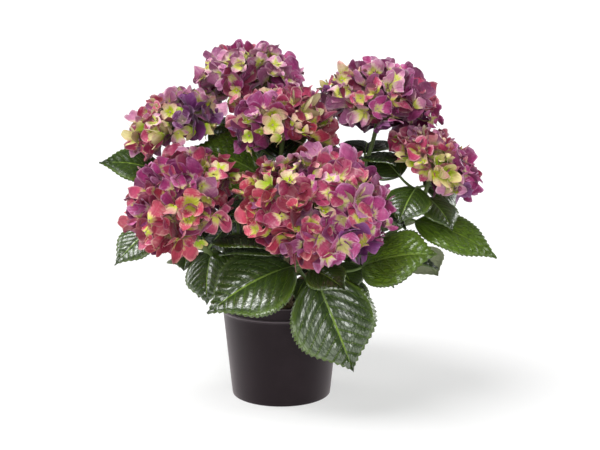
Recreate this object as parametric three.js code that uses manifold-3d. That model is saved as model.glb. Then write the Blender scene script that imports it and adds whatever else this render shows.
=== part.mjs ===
// A bigleaf hydrangea in flower in its nursery pot. The pot is filled with compost, out of which
// stands a low woody crown. Canes arch out of the crown, each carrying pairs of broad leaves, and
// most of them end in a domed flower head. Side shoots without a flower fill the foot of the bush.
// Millimetres, +Z up, origin on the ground under the middle of the pot, front of the bush at -Y.

import * as THREE from "three";
import { mergeVertices } from "three/addons/utils/BufferGeometryUtils.js";
import Module from "manifold-3d";

const wasm = await Module();
wasm.setup();

// Driving dimensions

const GAP = 0.3; // left between two pieces that rest on each other

const POT = {
  height: 120,
  footRadius: 58, // outside, at the ground
  neckRadius: 68.6, // outside, under the collar
  rimRadius: 70.8,
  collar: 16, // height of the band under the rim
  wall: 1.4,
  floor: 7, // top of the floor, over the drainage channels
  chamfer: 1.5,
  sides: 40,
};

const CHANNEL = {
  count: 6,
  height: 5,
  width: 22, // at its roof
  flare: 5, // each side leans out this much on its way down to the ground
  inner: 24, // distance from the axis to its closed end
  holeRadius: 4.5,
  holeAt: 33,
};

const SOIL = { rimLevel: 104.2, crownLevel: 107, flatRadius: 22, sides: 40 };

const CROWN = { centre: 120, radius: 15, flare: 18, waist: 12.5, sides: 16 };

// Stems taper from the crown to the flower head. The step is the length of one straight stretch.
const CANE = { rootRadius: 3.4, tipRadius: 2.4, sides: 6, step: 17 };

// The leafy part of a stem starts this far below its lowest leaf and ends this far above its highest.
const SHOOT = { below: 9, above: 14, most: 0.92 };

// A leaf stalk's length is a share of the blade's. It rises this much more steeply than the blade.
const PETIOLE = { share: 0.2, radius: 1.8, steps: 2, lift: 40, steepest: 62 };

const BLADE = {
  widthShare: 0.76, // of the length
  bend: 42, // degrees that the midrib turns down from base to tip
  fold: 0.2, // rise of each half towards its edge, as a share of the half width
  curl: 0.26, // fall of the edge after that
  thickness: 0.014, // of the length
  stations: [0.1, 0.32, 0.56, 0.8],
};

const HEAD = {
  rise: 0.8, // of the radius, from the middle to the top
  drop: 0.56, // of the radius, from the middle down to the skirt
  skirt: 112, // degrees from the head's axis to its lowest florets
  core: 0.52, // radius of the knot of stalks inside, of the radius
  flat: 0.72, // height of that knot, of its own radius
  below: 0.1, // where the stem ends, under the middle, of the radius
  sunk: 0.35, // where floret stalks start, from the stem's end to the florets
  surface: 0.93, // where florets sit, of the outline
  scatter: 0.05,
  perRadius: 0.37, // florets for each millimetre of radius
};

const FLORET = {
  span: 0.28, // from the middle to a sepal's tip, of the head's radius
  notch: 0.6, // from the middle to the gap between sepals, of the span
  cup: 0.2, // rise of the rim, of the span
  back: 0.13, // depth of the solid under the middle, of the span
  tilt: 20, // most degrees off the head's own surface
  stalk: 1.5,
};

// Clearances kept by the rule that places leaves: from other leaves, from stems, and from the pot's rim,
// and out of the heads' outlines. A blade's first share is free of its own stem. Florets keep out of the
// outlines of other heads.
const CLEAR = { leaf: 6.2, stem: 7.6, rim: 4, head: 1.015, own: 0.34, otherHead: 1.03, otherCore: 0.72 };

// Leaves that face the front are told by where the blade starts and ends, its width, and the way its
// upper side looks. The others grow in pairs on opposite sides of the stem, told by the pair's share of
// the stem's length and its heading, and for each leaf the rise of its chord and its length.
const aimed = (base, tip, width, face = [0, 90]) => ({ base, tip, width, face });
const pair = (at, heading, ...leaves) =>
  leaves.map(([rise, length], k) => ({ at, heading: heading + 180 * k, rise, length, face: [0, 90] }));

// Every stem: where it leaves the crown, where its head or tip is, how it leans there, and its leaves.
// Headings are degrees seen from above, 0 to the right and -90 to the front. A lean is a heading and an
// angle off upright. A head's squat is its share of the usual height.
const STEMS = [
  {
    name: "front",
    root: [-72, 38],
    head: {
      middle: [39, -113, 246],
      radius: 88,
      squat: 0.8,
      lean: [-70, 6],
      tilt: [-78, 27],
      colour: "rose",
    },
    leaves: [
      aimed([39, -112, 169], [81, -128, 65], 94, [-88, 20]),
      aimed([15, -100, 178], [-78, -138, 133], 96, [-110, 50]),
      aimed([34, -122, 179], [71, -160, 165], 46, [-80, 50]),
      aimed([28, -56, 151], [17, -86, 136], 40, [-90, 50]),
      aimed([91, -78, 171], [173, -120, 195], 84, [-80, 52]),
      ...pair(0.56, 6, [-20, 84], [-14, 84]),
    ],
  },
  {
    name: "left",
    root: [-140, 36],
    head: { middle: [-104, -90, 246], radius: 71, lean: [-140, 10], tilt: [-138, 38], colour: "rose" },
    leaves: [
      aimed([-76, -60, 187], [-81, -95, 132], 60, [-120, 20]),
      aimed([-22, -42, 194], [-61, -74, 164], 60, [-90, 40]),
      ...pair(0.54, 140, [4, 90]),
      ...pair(0.66, -40, [-6, 84], [4, 80]),
    ],
  },
  {
    name: "upper_left",
    root: [178, 52],
    head: {
      middle: [-120, -10, 320],
      radius: 58,
      squat: 0.84,
      lean: [178, 12],
      tilt: [-165, 26],
      colour: "violet",
    },
    leaves: [
      aimed([-134, -6, 266], [-201, -38, 291], 64, [-100, 60]),
      aimed([-60, 34, 300], [-83, 30, 334], 44, [-90, 30]),
      ...pair(0.5, -172, [-10, 90], [8, 84]),
      ...pair(0.66, 110, [4, 92], [6, 84]),
      ...pair(0.78, 150, [-4, 84], [-2, 70]),
    ],
  },
  {
    name: "top",
    root: [112, 70],
    head: { middle: [-38, 40, 358], radius: 68, lean: [150, 4], tilt: [130, 8], colour: "mauve" },
    leaves: [
      aimed([-21, 10, 257], [-99, -12, 297], 78, [-80, 40]),
      ...pair(0.5, 122, [0, 104], [4, 90]),
      ...pair(0.64, 34, [10, 100], [14, 92]),
      ...pair(0.76, 128, [4, 84], [2, 80]),
    ],
  },
  {
    name: "middle",
    root: [-62, 68],
    head: { middle: [5, -40, 319], radius: 61, lean: [-65, 24], tilt: [-65, 26], colour: "lime" },
    leaves: [
      aimed([36, -14, 272], [78, -8, 290], 48, [-80, 40]),
      ...pair(0.5, 30, [6, 80], [0, 76]),
      ...pair(0.62, 44, [4, 92], [-4, 84]),
      ...pair(0.74, 128, [8, 84], [-6, 76]),
    ],
  },
  {
    name: "upper_right",
    root: [26, 68],
    head: { middle: [114, 25, 334], radius: 73, lean: [30, 5], tilt: [20, 16], colour: "mauve" },
    leaves: [
      aimed([94, -10, 269], [58, -14, 297], 52, [-90, 30]),
      ...pair(0.54, 100, [2, 96], [0, 88]),
      ...pair(0.66, 20, [-8, 88], [-14, 66]),
      ...pair(0.74, 84, [-4, 88], [0, 60]),
    ],
  },
  {
    name: "right",
    root: [-4, 38],
    head: {
      middle: [175, -20, 280],
      radius: 62,
      squat: 0.58,
      lean: [-10, 4],
      tilt: [-14, 34],
      colour: "lime",
    },
    leaves: [
      aimed([155, -14, 211], [246, -44, 172], 66, [-70, 60]),
      aimed([155, -26, 252], [132, -70, 219], 54, [-100, 45]),
      aimed([168, -12, 238], [195, -44, 205], 52, [-50, 40]),
      aimed([166, 8, 247], [211, 44, 230], 54, [-50, 45]),
      aimed([148, 12, 259], [134, 42, 279], 50, [-100, 30]),
      ...pair(0.6, 100, [-20, 96]),
    ],
  },
  {
    name: "back_left",
    root: [128, 42],
    head: { middle: [-74, 118, 226], radius: 54, lean: [122, 8], tilt: [122, 34], colour: "mauve" },
    leaves: [...pair(0.6, 40, [-18, 100], [-10, 96]), ...pair(0.7, 128, [-24, 96], [4, 80])],
  },
  {
    name: "back_right",
    root: [66, 42],
    head: { middle: [50, 128, 218], radius: 54, lean: [70, 8], tilt: [70, 36], colour: "rose" },
    leaves: [...pair(0.6, -14, [-12, 100], [-16, 96]), ...pair(0.7, 78, [-24, 96], [4, 80])],
  },
  {
    name: "low_left",
    root: [-172, 18],
    tip: { point: [-92, -16, 186], lean: [-170, 30] },
    leaves: [
      aimed([-139, -30, 208], [-187, -60, 168], 50, [-110, 50]),
      aimed([-105, -20, 177], [-111, -40, 157], 34, [-110, 40]),
      ...pair(0.66, 122, [-20, 90]),
      ...pair(0.92, 150, [-8, 84], [10, 70]),
    ],
  },
  {
    name: "low_right",
    root: [-30, 16],
    tip: { point: [98, -18, 182], lean: [-10, 30] },
    leaves: [
      aimed([155, 20, 168], [188, 36, 132], 50, [84, 24]),
      aimed([65, -40, 167], [84, -74, 140], 48, [-80, 50]),
      ...pair(0.6, 104, [-24, 92], [-40, 60]),
      ...pair(0.92, 14, [-8, 80], [12, 70]),
    ],
  },
  {
    name: "low_back",
    root: [98, 12],
    tip: { point: [-12, 92, 176], lean: [96, 30] },
    leaves: [...pair(0.7, 22, [-30, 92], [-30, 92]), ...pair(0.94, 98, [-40, 92], [14, 60])],
  },
  {
    name: "low_right_back",
    root: [28, 14],
    tip: { point: [84, 58, 190], lean: [34, 30] },
    leaves: [...pair(0.66, 130, [-34, 94], [-10, 80]), ...pair(0.93, 40, [-24, 92], [12, 60])],
  },
];

const COLOURS = {
  pot: [0x2b2628, 0.55],
  soil: [0x2a1d15, 0.98],
  crown: [0x6b543c, 0.9],
  cane: [0x5d6b34, 0.6],
  leaves: [0x2f5a22, 0.42],
  rose: [0xc2506c, 0.7],
  mauve: [0xac5494, 0.7],
  violet: [0x8a5a9c, 0.7],
  lime: [0xb8935c, 0.7],
};

// Small tools

const radians = THREE.MathUtils.degToRad;

// Numbers from 0 to 1 that come out the same on every run.
function seeded(seed) {
  let state = (seed * 7919 + 12345) % 2147483647;
  return () => {
    state = (state * 16807) % 2147483647;
    return state / 2147483647;
  };
}

// A direction from its heading and rise in degrees.
function towards(heading, rise) {
  const flat = Math.cos(radians(rise));
  return new THREE.Vector3(
    flat * Math.cos(radians(heading)),
    flat * Math.sin(radians(heading)),
    Math.sin(radians(rise)),
  );
}

// The direction of a lean.
const leaning = ([heading, angle]) => towards(heading, 90 - angle);

function geometryOf(points, faces) {
  return new THREE.BufferGeometry()
    .setAttribute("position", new THREE.Float32BufferAttribute(points.flatMap((p) => p.toArray()), 3))
    .setIndex(faces);
}

// A closed geometry as a solid that can be joined and cut.
function solid(geometry) {
  const bare = geometry.index ? geometry.toNonIndexed() : geometry.clone();
  bare.deleteAttribute("normal");
  bare.deleteAttribute("uv");
  const merged = mergeVertices(bare, 1e-4);
  return new wasm.Manifold(
    new wasm.Mesh({
      numProp: 3,
      vertProperties: merged.attributes.position.array,
      triVerts: new Uint32Array(merged.index.array),
    }),
  );
}

// The pieces joined into one body. Loose scraps and sealed hollows are left behind.
function joined(pieces) {
  const bodies = wasm.Manifold.union(pieces).decompose();
  return bodies.reduce((a, b) => (b.volume() > a.volume() ? b : a));
}

function meshOf(name, kind, made) {
  const { numVert, numProp, vertProperties, triVerts } = made.getMesh();
  const points = Array.from({ length: numVert }, (_, i) =>
    new THREE.Vector3().fromArray(vertProperties, i * numProp),
  );
  const [color, roughness] = COLOURS[kind];
  const material = new THREE.MeshStandardMaterial({ color, roughness, metalness: 0, flatShading: true });
  const mesh = new THREE.Mesh(geometryOf(points, [...triVerts]), material);
  mesh.name = name;
  return mesh;
}

const lathe = (profile, sides) =>
  new THREE.LatheGeometry(profile.map(([r, z]) => new THREE.Vector2(r, z)), sides).rotateX(Math.PI / 2);

// A limb of round section along a curve between two shares of its length, tapering from one radius to
// the other, with flat ends square to the curve.
function limb(line, from, to, startRadius, endRadius) {
  const { sides, step } = CANE;
  const last = Math.max(2, Math.round(((to - from) * line.getLength()) / step));
  const rings = [];
  let side = new THREE.Vector3(0.31, 0.92, 0.24);
  for (let i = 0; i <= last; i++) {
    const share = THREE.MathUtils.lerp(from, to, i / last);
    const along = line.getTangentAt(share);
    side = side.clone().addScaledVector(along, -side.dot(along)).normalize();
    const other = along.clone().cross(side);
    const radius = THREE.MathUtils.lerp(startRadius, endRadius, i / last);
    for (let k = 0; k < sides; k++) {
      const angle = (2 * Math.PI * k) / sides;
      rings.push(
        line
          .getPointAt(share)
          .addScaledVector(side, radius * Math.cos(angle))
          .addScaledVector(other, radius * Math.sin(angle)),
      );
    }
  }
  const faces = [];
  for (let i = 0; i < last; i++)
    for (let k = 0; k < sides; k++) {
      const [a, b] = [i * sides + k, i * sides + ((k + 1) % sides)];
      faces.push(a, b, b + sides, a, b + sides, a + sides);
    }
  for (let k = 1; k < sides - 1; k++) {
    faces.push(0, k + 1, k);
    faces.push(last * sides, last * sides + k, last * sides + k + 1);
  }
  return solid(geometryOf(rings, faces));
}

// Pot, compost and crown

// The pot tapers to its foot, has a band under its rim, and stands on feet between drainage channels.
function pot() {
  const { height, footRadius, neckRadius, rimRadius, collar, wall, floor, chamfer, sides } = POT;
  const neck = height - collar;
  const outside = (z) => THREE.MathUtils.lerp(footRadius, neckRadius, z / neck);
  const body = solid(
    lathe(
      [
        [0, 0],
        [footRadius - chamfer, 0],
        [outside(chamfer), chamfer],
        [neckRadius, neck - 1],
        [rimRadius - 0.6, neck],
        [rimRadius, height - 1.2],
        [rimRadius - 0.6, height],
        [rimRadius - wall, height],
        [rimRadius - wall - 0.4, neck + 2],
        [neckRadius - wall, neck - 1],
        [outside(floor) - wall, floor],
        [0, floor],
      ],
      sides,
    ),
  );
  const section = new THREE.Shape([
    new THREE.Vector2(-CHANNEL.width / 2 - CHANNEL.flare, -CHANNEL.height * 0.1),
    new THREE.Vector2(CHANNEL.width / 2 + CHANNEL.flare, -CHANNEL.height * 0.1),
    new THREE.Vector2(CHANNEL.width / 2, CHANNEL.height),
    new THREE.Vector2(-CHANNEL.width / 2, CHANNEL.height),
  ]);
  const cuts = [];
  for (let i = 0; i < CHANNEL.count; i++) {
    const turn = (2 * Math.PI * i) / CHANNEL.count;
    const channel = new THREE.ExtrudeGeometry(section, { depth: footRadius, bevelEnabled: false })
      .rotateX(Math.PI / 2)
      .translate(0, -CHANNEL.inner, 0)
      .rotateZ(turn);
    const hole = lathe([[0, 1], [CHANNEL.holeRadius, 1], [CHANNEL.holeRadius, floor + 1], [0, floor + 1]], 10)
      .translate(0, -CHANNEL.holeAt, 0)
      .rotateZ(turn);
    cuts.push(solid(channel), solid(hole));
  }
  return cuts.reduce((left, cut) => left.subtract(cut), body);
}

// The compost fills the pot and rises a little to the crown.
function soil() {
  const { footRadius, neckRadius, wall, floor, height, collar } = POT;
  const neck = height - collar;
  const inside = (z) => THREE.MathUtils.lerp(footRadius, neckRadius, z / neck) - wall - 1.3 * GAP;
  const { rimLevel, crownLevel, flatRadius, sides } = SOIL;
  return solid(
    lathe(
      [
        [0, floor + GAP],
        [inside(floor), floor + GAP],
        [inside(rimLevel - 3), rimLevel - 3],
        [inside(rimLevel - 3) - 2, rimLevel],
        [flatRadius, crownLevel],
        [0, crownLevel],
      ],
      sides,
    ),
  );
}

// The crown is a knuckle of old wood on a flared foot, from a flat cut at the compost.
function crown() {
  const { centre, radius, flare, waist, sides } = CROWN;
  const foot = SOIL.crownLevel + GAP;
  const profile = [[0, foot], [flare, foot], [flare - 2.5, foot + 1.5], [waist, foot + 4]];
  for (const angle of [-30, 0, 30, 60])
    profile.push([radius * Math.cos(radians(angle)), centre + radius * Math.sin(radians(angle))]);
  profile.push([0, centre + radius]);
  return solid(lathe(profile, sides));
}

// Stems

// The line of a stem, from the crown's surface to the middle of its head or to its tip.
function stemLine(stem) {
  const { head, tip } = stem;
  const out = towards(...stem.root);
  const start = out.clone().multiplyScalar(CROWN.radius + GAP + 0.1);
  start.z += CROWN.centre;
  const end = head
    ? new THREE.Vector3(...head.middle).addScaledVector(leaning(head.tilt), -HEAD.below * head.radius)
    : new THREE.Vector3(...tip.point);
  const reach = 0.42 * start.distanceTo(end);
  return new THREE.CubicBezierCurve3(
    start,
    start.clone().addScaledVector(out, reach),
    end.clone().addScaledVector(leaning((head ?? tip).lean), -reach),
    end,
  );
}

const caneRadius = (share) => THREE.MathUtils.lerp(CANE.rootRadius, CANE.tipRadius, share);

// Leaves

// Half the width of a blade, as a share of the greatest: round at the base, drawn out at the tip.
function outline(along) {
  const body = Math.sin(Math.PI * along ** 0.86) ** 0.72;
  const tip = THREE.MathUtils.smoothstep(along, 0.6, 1);
  return body * (1 - 0.42 * tip);
}

// A blade's midrib is an even arc over its chord. At a share of its length it runs along one direction,
// and its upper side looks along the other.
function bladeFrame({ ahead, face }, along) {
  const turn = radians(BLADE.bend) * (0.5 - along);
  return {
    tangent: ahead.clone().multiplyScalar(Math.cos(turn)).addScaledVector(face, Math.sin(turn)),
    normal: face.clone().multiplyScalar(Math.cos(turn)).addScaledVector(ahead, -Math.sin(turn)),
  };
}

// A point of the blade: along from 0 at its base to 1 at its tip, across from -1 to 1.
function bladePoint(blade, along, across) {
  const { base, ahead, face, side, length, width } = blade;
  const bend = radians(BLADE.bend);
  const turn = bend * (0.5 - along);
  const half = (outline(along) * width) / 2;
  const lift = half * (Math.abs(across) * BLADE.fold - across * across * BLADE.curl);
  return base
    .clone()
    .addScaledVector(ahead, (length * (Math.sin(bend / 2) - Math.sin(turn))) / bend)
    .addScaledVector(face, (length * (Math.cos(turn) - Math.cos(bend / 2))) / bend)
    .addScaledVector(side, across * half)
    .addScaledVector(bladeFrame(blade, along).normal, lift);
}

// A vector swung by degrees of heading and of rise.
function swung(vector, turned, raised) {
  const length = vector.length();
  const heading = THREE.MathUtils.radToDeg(Math.atan2(vector.y, vector.x));
  const rise = THREE.MathUtils.radToDeg(Math.asin(vector.z / length));
  return towards(heading + turned, THREE.MathUtils.clamp(rise + raised, -85, 85)).multiplyScalar(length);
}

// A leaf of the table as its level on the stem, the way from there to its blade, and the blade's chord.
// A leaf told by its blade grows from the nearest level of its stem.
function wantedLeaf(line, leaf) {
  if (leaf.base) {
    const base = new THREE.Vector3(...leaf.base);
    const chord = new THREE.Vector3(...leaf.tip).sub(base);
    const from = base.clone().addScaledVector(chord, -PETIOLE.share).setZ(base.z - 10);
    let at = 0.4;
    for (let share = 0.4; share < 0.9; share += 0.02)
      if (line.getPointAt(share).distanceTo(from) < line.getPointAt(at).distanceTo(from)) at = share;
    return { at, stalk: base.sub(line.getPointAt(at)), chord, width: leaf.width, face: leaf.face };
  }
  const { at, heading, rise, length, face } = leaf;
  const steep = Math.min(rise + PETIOLE.lift, PETIOLE.steepest);
  return {
    at,
    stalk: towards(heading, steep).multiplyScalar(PETIOLE.share * length),
    chord: towards(heading, rise).multiplyScalar(length),
    width: BLADE.widthShare * length,
    face,
  };
}

// The leaf as it grows: its blade, and its stalk as a curve that arrives along the midrib.
function grown(line, { at, stalk, chord, width, face }, turned, raised) {
  const start = line.getPointAt(at);
  const out = swung(stalk, turned, raised);
  const length = chord.length();
  const ahead = swung(chord, turned, raised).divideScalar(length);
  const looks = towards(face[0] + turned, face[1]);
  looks.addScaledVector(ahead, -looks.dot(ahead)).normalize();
  const side = looks.clone().cross(ahead);
  const bend = radians(BLADE.bend);
  const blade = { base: start.clone().add(out), ahead, face: looks, side, width };
  blade.length = (length * bend) / 2 / Math.sin(bend / 2);
  const knee = blade.base.clone().addScaledVector(bladeFrame(blade, 0).tangent, -0.45 * out.length());
  blade.stalk = new THREE.QuadraticBezierCurve3(start, knee, blade.base);
  return blade;
}

// The points by which a leaf is kept apart from everything else.
function feelers(blade) {
  const found = [0.35, 0.7].map((t) => blade.stalk.getPoint(t));
  for (let i = 1; i <= 16; i++)
    for (let j = -5; j <= 5; j++) found.push(bladePoint(blade, i / 16, j / 5));
  return found;
}

// How far a point is inside a head's outline: under 1 is inside.
function depthInHead(point, { middle, radius, tilt, squat = 1 }) {
  const from = point.clone().sub(new THREE.Vector3(...middle));
  const up = from.dot(leaning(tilt));
  const out = Math.sqrt(Math.max(from.lengthSq() - up * up, 0));
  return Math.hypot(out / radius, up / (radius * squat * (up > 0 ? HEAD.rise : HEAD.drop)));
}

const lineOf = new Map(STEMS.map((stem) => [stem.name, stemLine(stem)]));
const heads = STEMS.filter((stem) => stem.head).map((stem) => stem.head);
const axes = new Map(STEMS.map(({ name }) => [name, lineOf.get(name).getSpacedPoints(40)]));

// Whether a leaf's points are clear of the pot, the heads, the stems and the leaves before it.
function hasRoom(points, ownStem, placed) {
  return points.every((p, i) => {
    if (p.z < POT.height + CLEAR.rim && Math.hypot(p.x, p.y) < POT.rimRadius + CLEAR.rim) return false;
    if (heads.some((head) => depthInHead(p, head) < CLEAR.head)) return false;
    for (const [name, axis] of axes) {
      if (name === ownStem && i < 2 + 11 * 16 * CLEAR.own) continue;
      if (axis.some((q) => p.distanceTo(q) < CLEAR.stem)) return false;
    }
    return !placed.some((other) => other.some((q) => p.distanceTo(q) < CLEAR.leaf));
  });
}

// The swings that are tried in turn, nearest first: degrees of heading and of rise.
const swings = [];
for (let a = -5; a <= 5; a++) for (let b = -4; b <= 4; b++) swings.push([a * 7, b * 7]);
swings.sort((p, q) => p[0] ** 2 + p[1] ** 2 - (q[0] ** 2 + q[1] ** 2) || p[0] - q[0] || p[1] - q[1]);

// Every leaf, those that face the front first. One that would touch anything swings aside, or is left off.
function placeLeaves() {
  const placed = [];
  const leavesOf = new Map(STEMS.map((stem) => [stem.name, []]));
  const wanted = STEMS.flatMap(({ name, leaves }) => leaves.map((leaf) => ({ name, leaf })));
  const inOrder = [...wanted.filter(({ leaf }) => leaf.base), ...wanted.filter(({ leaf }) => !leaf.base)];
  for (const { name, leaf } of inOrder) {
    const line = lineOf.get(name);
    const goal = wantedLeaf(line, leaf);
    for (const [turned, raised] of swings) {
      const blade = grown(line, goal, turned, raised);
      const points = feelers(blade);
      if (!hasRoom(points, name, placed)) continue;
      placed.push(points);
      leavesOf.get(name).push({ at: goal.at, blade });
      break;
    }
  }
  return leavesOf;
}

// A leaf as one thin closed solid: a four-sided stalk that opens out into a folded sheet, whose midrib
// is pushed down below, and runs together again in the tip.
function leafSolid(blade) {
  const rings = [];
  const { normal } = bladeFrame(blade, 0);
  for (let i = 0; i <= PETIOLE.steps; i++) {
    const centre = blade.stalk.getPoint(i / PETIOLE.steps);
    const radius = PETIOLE.radius * (1.1 - (0.25 * i) / PETIOLE.steps);
    const off = (direction, by) => centre.clone().addScaledVector(direction, by * radius);
    rings.push([off(blade.side, -1), off(normal, 1), off(blade.side, 1), off(normal, -1)]);
  }
  const thickness = BLADE.thickness * blade.length;
  for (const along of BLADE.stations) {
    const middle = bladePoint(blade, along, 0);
    const under = middle.clone().addScaledVector(bladeFrame(blade, along).normal, -thickness);
    rings.push([bladePoint(blade, along, -1), middle, bladePoint(blade, along, 1), under]);
  }
  const points = [...rings.flat(), bladePoint(blade, 1, 0)];
  const tip = points.length - 1;
  const faces = [0, 1, 2, 0, 2, 3];
  for (let i = 0; i < tip; i += 4)
    for (const [a, b] of [[0, 1], [1, 2], [2, 3], [3, 0]])
      if (i + 4 < tip) faces.push(i + b, i + a, i + b + 4, i + b + 4, i + a, i + a + 4);
      else faces.push(i + b, i + a, tip);
  return solid(geometryOf(points, faces));
}

// Flower heads

// The place and facing of each floret, on a spiral from the top of the head down to its skirt.
function florets({ middle, radius, tilt, squat = 1 }, seed) {
  const random = seeded(seed);
  const axis = leaning(tilt);
  const one = new THREE.Vector3(0, 0, 1).cross(axis);
  if (one.length() < 1e-3) one.set(1, 0, 0);
  one.normalize();
  const two = axis.clone().cross(one);
  const count = Math.round(HEAD.perRadius * radius);
  const lowest = Math.cos(radians(HEAD.skirt));
  return Array.from({ length: count }, (_, i) => {
    const up = 1 - ((i + 0.5) / count) * (1 - lowest);
    const out = Math.sqrt(1 - up * up);
    const turn = i * 2.39996 + seed;
    const reach = radius * HEAD.surface * (1 + HEAD.scatter * (2 * random() - 1));
    const tall = squat * (up > 0 ? HEAD.rise : HEAD.drop);
    const place = new THREE.Vector3(...middle)
      .addScaledVector(one, reach * out * Math.cos(turn))
      .addScaledVector(two, reach * out * Math.sin(turn))
      .addScaledVector(axis, reach * tall * up);
    const facing = new THREE.Vector3()
      .addScaledVector(one, out * Math.cos(turn) * tall)
      .addScaledVector(two, out * Math.sin(turn) * tall)
      .addScaledVector(axis, up)
      .normalize();
    const lean = 2 * Math.tan(radians(FLORET.tilt));
    facing.x += lean * (random() - 0.5);
    facing.y += lean * (random() - 0.5);
    facing.z += lean * (random() - 0.5);
    facing.normalize();
    return { place, facing, spin: random() * Math.PI, size: radius * FLORET.span * (0.9 + 0.2 * random()) };
  });
}

// A point off the middle of a floret, at an angle and a distance, and so much in front of it.
function offFloret({ place, facing, spin }, angle, reach, ahead) {
  const one = new THREE.Vector3(0.3, 0.5, 0.8).cross(facing).normalize();
  const two = facing.clone().cross(one);
  return place
    .clone()
    .addScaledVector(one, reach * Math.cos(spin + angle))
    .addScaledVector(two, reach * Math.sin(spin + angle))
    .addScaledVector(facing, ahead);
}

// The eight points round a floret: the tips of its sepals, and the notches between them.
function rimOf(floret) {
  return Array.from({ length: 8 }, (_, k) => {
    const reach = (k % 2 ? FLORET.notch : 1) * floret.size;
    const ahead = FLORET.cup * floret.size * (k % 2 ? 0.6 : 1);
    return offFloret(floret, (Math.PI * k) / 4, reach, ahead);
  });
}

// The florets of a head, drawn in until they are within its outline. Where two heads meet, the one
// nearer the front keeps its florets, and those of the other that would be in it are left off.
function floretsOf(head, foot, seed) {
  const middle = new THREE.Vector3(...head.middle);
  return florets(head, seed).filter((floret) => {
    const over = Math.max(...rimOf(floret).map((p) => depthInHead(p, head)));
    if (over > 1) floret.place.lerp(middle, 1 - 1 / over);
    const stalk = [0.4, 0.6, 0.8].map((share) => foot.clone().lerp(floret.place, share));
    const points = [...rimOf(floret), ...stalk];
    return heads.every((other) => {
      const least = other.middle[1] < head.middle[1] ? CLEAR.otherHead : CLEAR.otherCore;
      return other === head || points.every((p) => depthInHead(p, other) > least);
    });
  });
}

// A floret as one closed solid: a shallow four-lobed dish on a four-sided stalk from the foot given.
function floretSolid(floret, foot) {
  const points = [floret.place.clone(), ...rimOf(floret)];
  const corners = [1, 3, 5, 7].map((eighths) => (Math.PI * eighths) / 4);
  const down = foot.clone().sub(floret.place);
  const back = -FLORET.back * floret.size;
  for (const angle of corners) points.push(offFloret(floret, angle, FLORET.stalk, back));
  for (const angle of corners) points.push(offFloret(floret, angle, FLORET.stalk, 0).add(down));
  const faces = [];
  for (let k = 0; k < 8; k++) faces.push(0, 1 + k, 1 + ((k + 1) % 8));
  for (let k = 0; k < 4; k++) {
    const [tip, notch, next] = [1 + 2 * k, 2 + 2 * k, 1 + ((2 * k + 2) % 8)];
    const [a, b] = [9 + k, 9 + ((k + 1) % 4)];
    faces.push(notch, tip, a, next, notch, a, next, a, b);
    faces.push(b, a, a + 4, b, a + 4, b + 4);
  }
  faces.push(13, 15, 14, 13, 16, 15);
  return solid(geometryOf(points, faces));
}

// A head: a knot of stalks round the end of its stem, with florets standing out of it.
function bloom(stem, line, from) {
  const { head } = stem;
  const seed = 3 + STEMS.indexOf(stem);
  const middle = new THREE.Vector3(...head.middle);
  const axis = leaning(head.tilt);
  const size = HEAD.core * head.radius;
  const { squat = 1 } = head;
  const core = new THREE.IcosahedronGeometry(1, 1);
  core.scale(size, size, size * HEAD.flat * squat);
  core.applyQuaternion(new THREE.Quaternion().setFromUnitVectors(new THREE.Vector3(0, 0, 1), axis));
  core.translate(...head.middle);
  const pieces = [solid(core), limb(line, from, 0.99, caneRadius(from), CANE.tipRadius)];
  const foot = middle.clone().addScaledVector(axis, -HEAD.below * head.radius);
  for (const floret of floretsOf(head, foot, seed)) {
    pieces.push(floretSolid(floret, foot.clone().lerp(floret.place, HEAD.sunk)));
  }
  return joined(pieces);
}

// The whole bush

// Each stem is a bare cane, then the leafy part of it, then its flower head, a gap apart.
const hydrangea = new THREE.Group();
hydrangea.add(meshOf("pot", "pot", pot()));
hydrangea.add(meshOf("soil", "soil", soil()));
hydrangea.add(meshOf("crown", "crown", crown()));

const leavesOf = placeLeaves();
for (const stem of STEMS) {
  const line = lineOf.get(stem.name);
  const length = line.getLength();
  const leaves = leavesOf.get(stem.name);
  const levels = leaves.map(({ at }) => at);
  const shootFrom = Math.min(...levels) - SHOOT.below / length;
  const shootTo = stem.head ? Math.min(Math.max(...levels) + SHOOT.above / length, SHOOT.most) : 1;
  const gap = GAP / length;
  const cane = limb(line, 0, shootFrom - gap, CANE.rootRadius, caneRadius(shootFrom));
  hydrangea.add(meshOf(`cane_${stem.name}`, "cane", cane));
  const shoot = [limb(line, shootFrom, shootTo, caneRadius(shootFrom), caneRadius(shootTo))];
  for (const { blade } of leaves) shoot.push(leafSolid(blade));
  hydrangea.add(meshOf(`leaves_${stem.name}`, "leaves", joined(shoot)));
  if (!stem.head) continue;
  hydrangea.add(meshOf(`bloom_${stem.name}`, stem.head.colour, bloom(stem, line, shootTo + gap)));
}

export default hydrangea;
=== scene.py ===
import math

import bpy
import numpy as np
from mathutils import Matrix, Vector, noise


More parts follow.
